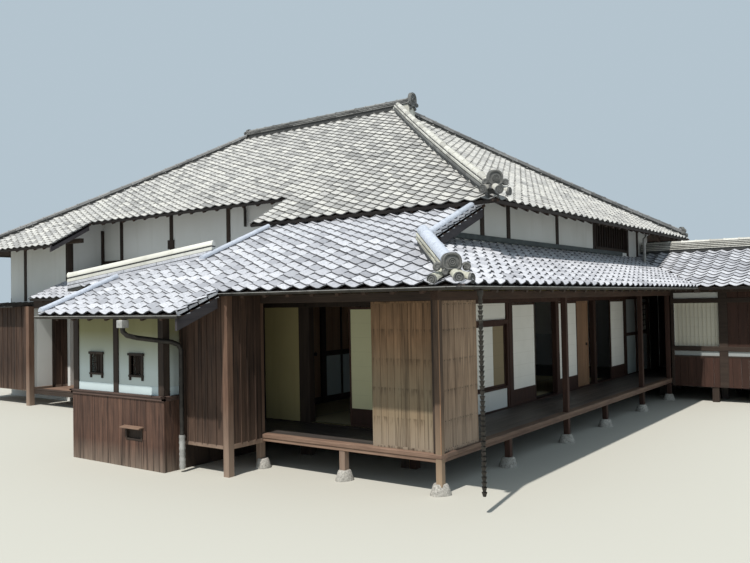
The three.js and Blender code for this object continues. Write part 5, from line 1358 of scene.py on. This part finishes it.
CHAIN_Y = -0.4
CUP_PITCH = 0.052
CUPS = 39
CUP = [(0.011, 0.0), (0.017, 0.001), (0.022, 0.02), (0.029, 0.043), (0.03, 0.046), (0.027, 0.044), (0.02, 0.02),
       (0.014, 0.005), (0.011, 0.005)]
FUNNEL = [(0.034, 0.0), (0.036, 0.0), (0.032, 0.04), (0.02, 0.075), (0.02, 0.1), (0.017, 0.1), (0.017, 0.075),
          (0.029, 0.04), (0.033, 0.003)]
LINK = [(-0.024, 0.044), (-0.012, 0.054), (0.0, 0.056), (0.012, 0.054), (0.024, 0.044)]
cups = [spun((edge, CHAIN_Y, GUTTER_Z - 0.042), -UP, FUNNEL, 16)]
for z in GUTTER_Z - 0.19 - CUP_PITCH * np.arange(CUPS):
    cups.append(spun((edge, CHAIN_Y, z), UP, CUP, 12))
    cups.append(tube([(edge, CHAIN_Y + y, z + rise) for y, rise in LINK], 0.0025, 5))
add("rain_chain_cups", together(*cups), COPPER, "rain_chain")

x, z = -3.86, PORCH_Z - 0.05
pipe = [(x, -1.43, z - 0.08), (x, -1.42, z - 0.15), (x + 0.03, -1.38, z - 0.2), (-3.8, -1.25, z - 0.235),
        (-3.7, -1.0, z - 0.28), (-3.64, -0.82, z - 0.31), (-3.6, -0.74, z - 0.35), (-3.6, -0.7, z - 0.42),
        (-3.6, -0.7, z - 0.6), (-3.6, -0.7, 0.1)]
add("porch_pipe", tube(pipe, 0.032, 14), COPPER)
collars = 0.038 + 0.005 * (np.arange(19) % 3 == 1)
add("porch_pipe_foot", tube([(-3.6, -0.7, z) for z in np.linspace(0.12, -0.33, 19)], collars, 16), GREY_METAL)
timber("porch_hopper", [[x - 0.055, x + 0.055, -1.475, -1.37, z - 0.1, z]], GREY_METAL, chamfer=0.006)
add("upper_pipe", tube([(-6.98, y, z) for y, z in ((3.83, 3.45), (3.83, 3.6), (3.83, 3.78), (3.81, 3.88))], 0.03),
    COPPER)
add("right_pipe", tube([(-0.7, 10.1, 2.6), (-0.7, 10.1, 3.0), (-0.7, 10.1, 3.14), (-0.67, 10.12, 3.22),
                        (-0.58, 10.17, 3.27), (-0.45, 10.22, 3.29)], 0.034), GREY_METAL)

# Left wing: the barge board of its gable, and the end of a beam
barge_path = [(CUT["left"] - 0.02, MAIN["front"] + d, main_height(d)) for d in (0.02, CUT["depth"] - 0.02)]
add("left_wing_barge_board", carried(barge_path, band(0.02, 0.02, -0.2, -0.06), (1, 0, 0)), BARGE_WOOD)
timber("left_wing_beam_end", [[-11.93, -11.35, HOUSE["front"] - 0.1, HOUSE["front"] - 0.005, 3.33, 3.43]], DARK_BEAM_X)

# Right wing: a wide paper window over a rail, a light strip and dark boards
face, right = WING["front"], WING["right"]
left, mid, low, high = 0.06, 0.95, 0.78, 1.68
boards = [board_wall(0, 0.0, right, face - 0.02, face - 0.001, -0.06, 0.57, 0.17),
          board_wall(0, 1.12, right, face - 0.02, face - 0.001, 0.78, 1.95, 0.18)]
timber("wing_front_boards", np.concatenate(boards), DARK_RED)
timber("wing_front_frame",
       slabs(0, face - 0.03, face + 0.02, *[(*ends, -0.06, 1.95) for ends in ((0.0, left), (mid, 1.12), (1.76, right))])
       + slabs(0, face - 0.035, face + 0.02, (0.0, right, 0.68, low))
       + slabs(0, face - 0.026, face - 0.001, (0.004, 1.836, 0.55, 0.585))
       + slabs(0, face - 0.034, face + 0.018, (0.002, 1.838, high, HEAD), (0.002, 1.838, 1.9, 1.98)), DARK_BEAM_X)
timber("wing_feet", slabs(0, face - 0.004, face + 0.104, *[(x - 0.065, x + 0.065, GROUND + 0.002, -0.05)
                                                            for x in (0.85, 1.774)]))
timber("wing_front_strip", slabs(0, face - 0.012, face, (0.02, 1.82, 0.58, 0.69)), GREY_PLASTER)
pane = (left + 0.0003, mid - 0.0003, low + 0.0003, high - 0.0003)
timber("wing_window_paper", slabs(0, face + 0.045, face + 0.05, pane), WING_PAPER, "wing_window_screen", chamfer=0.0005)
timber("wing_window_lattice", slabs(0, face + 0.036, face + 0.043, *[(x - 0.004, x + 0.004, low, high)
                                                                     for x in np.linspace(left, mid, 12)[1:-1]]),
       PALE_LATTICE, chamfer=0.001)
back = WING["back"] - 0.13
boards = [board_wall(0, -0.99, 1.72, back, back + 0.025, 0.1, 2.2, 0.3),
          board_wall(1, HOUSE["back"] + 0.02, back, INNER + 0.001, INNER + 0.02, 0.1, 2.2, 0.3)]
timber("wing_inner_boards", np.concatenate(boards))

# Plank bay
x0, x1, y0, y1 = BAY["left"], BAY["right"], BAY["front"], HOUSE["front"]
top = bay_height(y0 - BAY_ROOF["front"]) - 0.044
boards = [board_wall(0, x0 + 0.1, x1 - 0.12, y0, y0 + 0.025, -0.02, top, 0.2, 0.03, -1),
          board_wall(1, 2.63, y1, x1 - 0.025, x1, -0.02, top, 0.16, 0.03, 1),
          board_wall(1, y0 + 0.12, y1, x0, x0 + 0.025, -0.02, top, 0.2, 0.03, -1)]
timber("plank_bay_boards", np.concatenate(boards), BROWN_BOARD, "plank_bay", chamfer=0.003)
timber("plank_bay_frame", [
    [x0, x0 + 0.12, y0, y0 + 0.12, GROUND, top], [x1 - 0.13, x1, y0, y0 + 0.13, GROUND, top],
    [x0 + 0.12, x1 - 0.13, y0, y0 + 0.06, -0.03, 0.04], [x1 - 0.06, x1, y0 + 0.13, y1, -0.03, 0.04],
    [x0, x0 + 0.06, y0 + 0.12, y1, -0.03, 0.04], [x0 + 0.12, x1 - 0.13, y0 + 0.026, y0 + 0.06, top - 0.1, top],
    [x0 + 0.05, x1 - 0.05, y0 + 0.06, y1, 0.0, 0.03]], CLOSET_WOOD)
timber("plank_bay_panel", slabs(1, x1 - 0.03, x1 - 0.012, (y0 + 0.12, 2.56, 0.04, top)), WHITE_PLASTER)
timber("plank_bay_post", slabs(1, x1 - 0.06, x1, (2.55, 2.63, -0.02, top)))
bay_slope = Slope(0, BAY_ROOF["front"], 1, bay_height, LOW_COURSE)
bay_d = np.array([[0.0], [y1 - BAY_ROOF["front"] - 0.001]])
SHEET_WIDTH = 0.304
SEAM = np.array([(0.0, -0.022), (0.012, -0.022), (0.014, -0.002), (0.028, -0.002), (0.03, -0.022)])
sheets = []
for x in np.arange(BAY_ROOF["left"], BAY_ROOF["right"] - 0.01, SHEET_WIDTH):
    far = min(x + SHEET_WIDTH, BAY_ROOF["right"])
    section = np.concatenate([SEAM + (x, 0.0), [(far, -0.022), (far, -0.038), (x, -0.038)]])
    sheets.append(skin(bay_slope.place(section[:, 0], bay_d, section[:, 1])[None]))
add("plank_bay_roof_sheets", together(*sheets), COPPER, "plank_bay_roof")

# Entry
y0, y1 = 2.1, 2.1 + POST
top = lean_height(y0 - LEAN_TO["front"]) - ROOF - CLEARANCE
timber("entry_posts", slabs(0, y0, y1, *[(x, x + POST, GROUND, top) for x in (-9.9, -7.7, -6.88)])
       + slabs(0, 3.0, 3.12, *[(x - 0.06, x + 0.06, GROUND, -0.03) for x in (-11.0, -8.9, -6.7)]),
       replaces="entry_frame")
timber("entry_beams",
       slabs(0, y0 - 0.004, y1 + 0.004, (x1, -6.754, 1.83, top - 0.003), (x1, BATH["left"], -0.11, -0.02))
       + slabs(0, y0 - 0.008, y1 + 0.004, (x1, BATH["left"], -0.02, 0.0)), DARK_BEAM_X)
boards = planks((WING_SIDE, y1, -0.04), (BATH["left"], MIDDLE_FRONT, -0.001), 1, 2, 0.22, 0.003, 0.002)
timber("entry_floor_boards", boards, SILL_X)
SCREEN_WIDTH = 0.87
for k, (low, y) in enumerate(((-11.5, 3.92), (-10.67, 3.955), (-8.7, 3.92), (-7.87, 3.955))):
    name, high = "entry_screen_" + str(k + 1), low + SCREEN_WIDTH
    timber(name + "_frame", slabs(0, y, y + 0.03, (low, low + 0.035, 0.0, HEAD), (high - 0.035, high, 0.0, HEAD),
                                  (low, high, 0.0, 0.04), (low, high, HEAD - 0.04, HEAD), (low, high, 0.5, 0.54))
           + slabs(0, y + 0.005, y + 0.02, (low, high, 1.0, 1.03)), chamfer=0.003)
    low, high = low + 0.03, high - 0.03
    timber(name + "_paper", slabs(0, y + 0.012, y + 0.015, (low, high, 0.52, 1.02)), PAPER, chamfer=0.0005)
    boards = [board_wall(0, low, high, y + 0.008, y + 0.02, z0, z1, 0.27)
              for z0, z1 in ((0.03, 0.51), (1.02, HEAD - 0.03))]
    timber(name + "_boards", np.concatenate(boards), chamfer=0.002)
face = MIDDLE_FRONT
timber("entry_wall_frame", slabs(0, face - 0.02, face + 0.01, *[(x, x + 0.1, 0.0, 1.99)
                                                                for x in (-11.93, -11.6, -9.8, -8.8, -7.0, -5.92)])
       + slabs(0, face - 0.022, face + 0.01, (-11.93, BATH["left"], HEAD, HEAD + 0.1))
       + slabs(0, face - 0.02, face + 0.01, (-11.93, BATH["left"], 1.93, WALL_HEAD)))

# Eaves: a board along each edge, rafters behind it
RAFTER = KEN / 5


def eave(name, slope, d, low, high, span, reach):
    """An eave board at inset d from low to high, and rafters that divide the span, as far in as reach(s) tells."""
    s = np.arange(math.ceil(span[0] / RAFTER) + 0.5, math.floor(span[1] / RAFTER)) * RAFTER
    add(name + "_board", eave_board(slope, d, low, high), EAVE_WOOD)
    add(name + "_rafters", rafters(slope, s, d + 0.05, reach(s)), DARK_BEAM_X if slope.axis else DARK_BEAM_Y)


def held(limit, low, high):
    """A reach that is limited by the hips at both ends of a slope."""
    return lambda s: np.minimum(limit, np.minimum(s - low, high - s))


m_left, m_right, m_front, m_back = MAIN["left"], MAIN["right"], MAIN["front"], MAIN["back"]
corner_d = y_of(-edge)
ends = (m_front + 0.03, m_back - 0.03)
for name, slope, d, low, high, span, reach in (
        ("main_front_eave", main_front, 0.0, CUT["right"] + 0.01, m_right - 0.03, (CUT["right"], -0.6),
         lambda s: np.minimum(0.93, m_right - s)),
        ("main_left_wing_eave", main_front, 0.0, m_left + 0.03, CUT["left"] - 0.01, (m_left, CUT["left"]),
         lambda s: np.minimum(0.93, s - m_left)),
        ("main_middle_eave", main_front, setback, CUT["left"], CUT["right"], (CUT["left"], CUT["right"]),
         lambda s: 1.87),
        ("main_right_eave", main_right, 0.0, *ends, (m_front, m_back), held(0.76, m_front, m_back)),
        ("main_left_eave", main_left, 0.0, *ends, (m_front, m_back), held(0.64, m_front, m_back)),
        ("main_back_eave", main_back, 0.0, m_left + 0.03, m_right - 0.03, (m_left, m_right),
         held(0.89, m_left, m_right)),
        ("right_low_eave", right_slope, 0.0, -edge + 0.03, WING["front"] - edge, (-edge + 0.1, WING["front"]),
         lambda s: np.minimum(1.76, s + edge)),
        ("front_low_eave", front_slope, corner_d, PORCH["right"] + 0.01, edge - 0.03, (PORCH["right"], edge - 0.1),
         lambda s: y_of(np.minimum(INNER_FRONT - 0.01, -s))),
        ("porch_eave", front_slope, 0.0, PORCH["left"] + 0.01, PORCH["right"] - 0.01, (PORCH["left"], PORCH["right"]),
         lambda s: y_of(np.where(s < BATH["right"] + 0.05, BATH["front"] - 0.02, CLOSET["front"] - 0.01))),
        ("wing_front_eave", wing_front, 0.0, edge + 0.02, WING["verge"] - 0.01, (edge, WING["verge"]), lambda s: 0.74),
        ("wing_back_eave", wing_back, 0.0, INNER - 0.09, WING["verge"] - 0.01, (INNER - 0.1, WING["verge"]),
         lambda s: 0.73),
        ("lean_eave", lean_slope, 0.0, LEAN_TO["left"] + 0.01, LEAN_TO["right"] - 0.01,
         (LEAN_TO["left"], LEAN_TO["right"]), lambda s: lean_depth - 0.02)):
    eave(name, slope, d, low, high, span, reach)


# Camera, light and floor
CAMERA = np.array([4.552, -7.473, 1.857])
VIEW_RIGHT = (0.80824, 0.58854, -0.01905)
VIEW_UP = (0.03016, -0.00907, 0.99951)
VIEW_BACK = (0.58808, -0.80842, -0.02508)
FLOOR_REACH = 80.0


def into_scene(name, data):
    """An object of the scene round the house."""
    made = bpy.data.objects.new(name, data)
    bpy.context.scene.collection.objects.link(made)
    return made


def make_camera():
    """The camera, with its own axes as the columns of its turn and its place in the house's frame."""
    data = bpy.data.cameras.new("camera")
    data.sensor_width = 36.0
    data.lens = 36.84
    data.clip_end = 200.0
    camera = into_scene("camera", data)
    turn = Matrix([VIEW_RIGHT, VIEW_UP, VIEW_BACK]).transposed()
    camera.matrix_world = Matrix.Translation(CAMERA + CORNER) @ turn.to_4x4()
    bpy.context.scene.camera = camera


def make_studio():
    """A pale floor, a pale sky all round and one soft sun, high in front and a little to the right."""
    mesh = bpy.data.meshes.new("studio_floor")
    corners = [(-1, -1), (1, -1), (1, 1), (-1, 1)]
    mesh.from_pydata([(x * FLOOR_REACH, y * FLOOR_REACH, 0) for x, y in corners], [], [(0, 1, 2, 3)])
    finish = Finish("studio_floor", roughness=0.95, specular=0.1)
    finish.colour((0.5, 0.49, 0.44, 1.0))
    mesh.materials.append(finish.material)
    floor = into_scene("studio_floor", mesh)
    world = bpy.data.worlds.new("studio")
    world.use_nodes = True
    colour, strength = list(world.node_tree.nodes["Background"].inputs)[:2]
    colour.default_value = (0.74, 0.89, 1.0, 1.0)
    strength.default_value = 0.62
    bpy.context.scene.world = world
    sun = bpy.data.lights.new("sun", "SUN")
    sun.energy = 4.1
    sun.angle = math.radians(1.0)
    sun.color = (1.0, 0.96, 0.9)
    back = unit((0.1, -0.6, 1.0))
    side = unit(np.cross(UP, back))
    into_scene("sun", sun).matrix_world = Matrix([side, np.cross(back, side), back]).transposed().to_4x4()
    bpy.context.scene.view_settings.view_transform = "Standard"


make_camera()
make_studio()
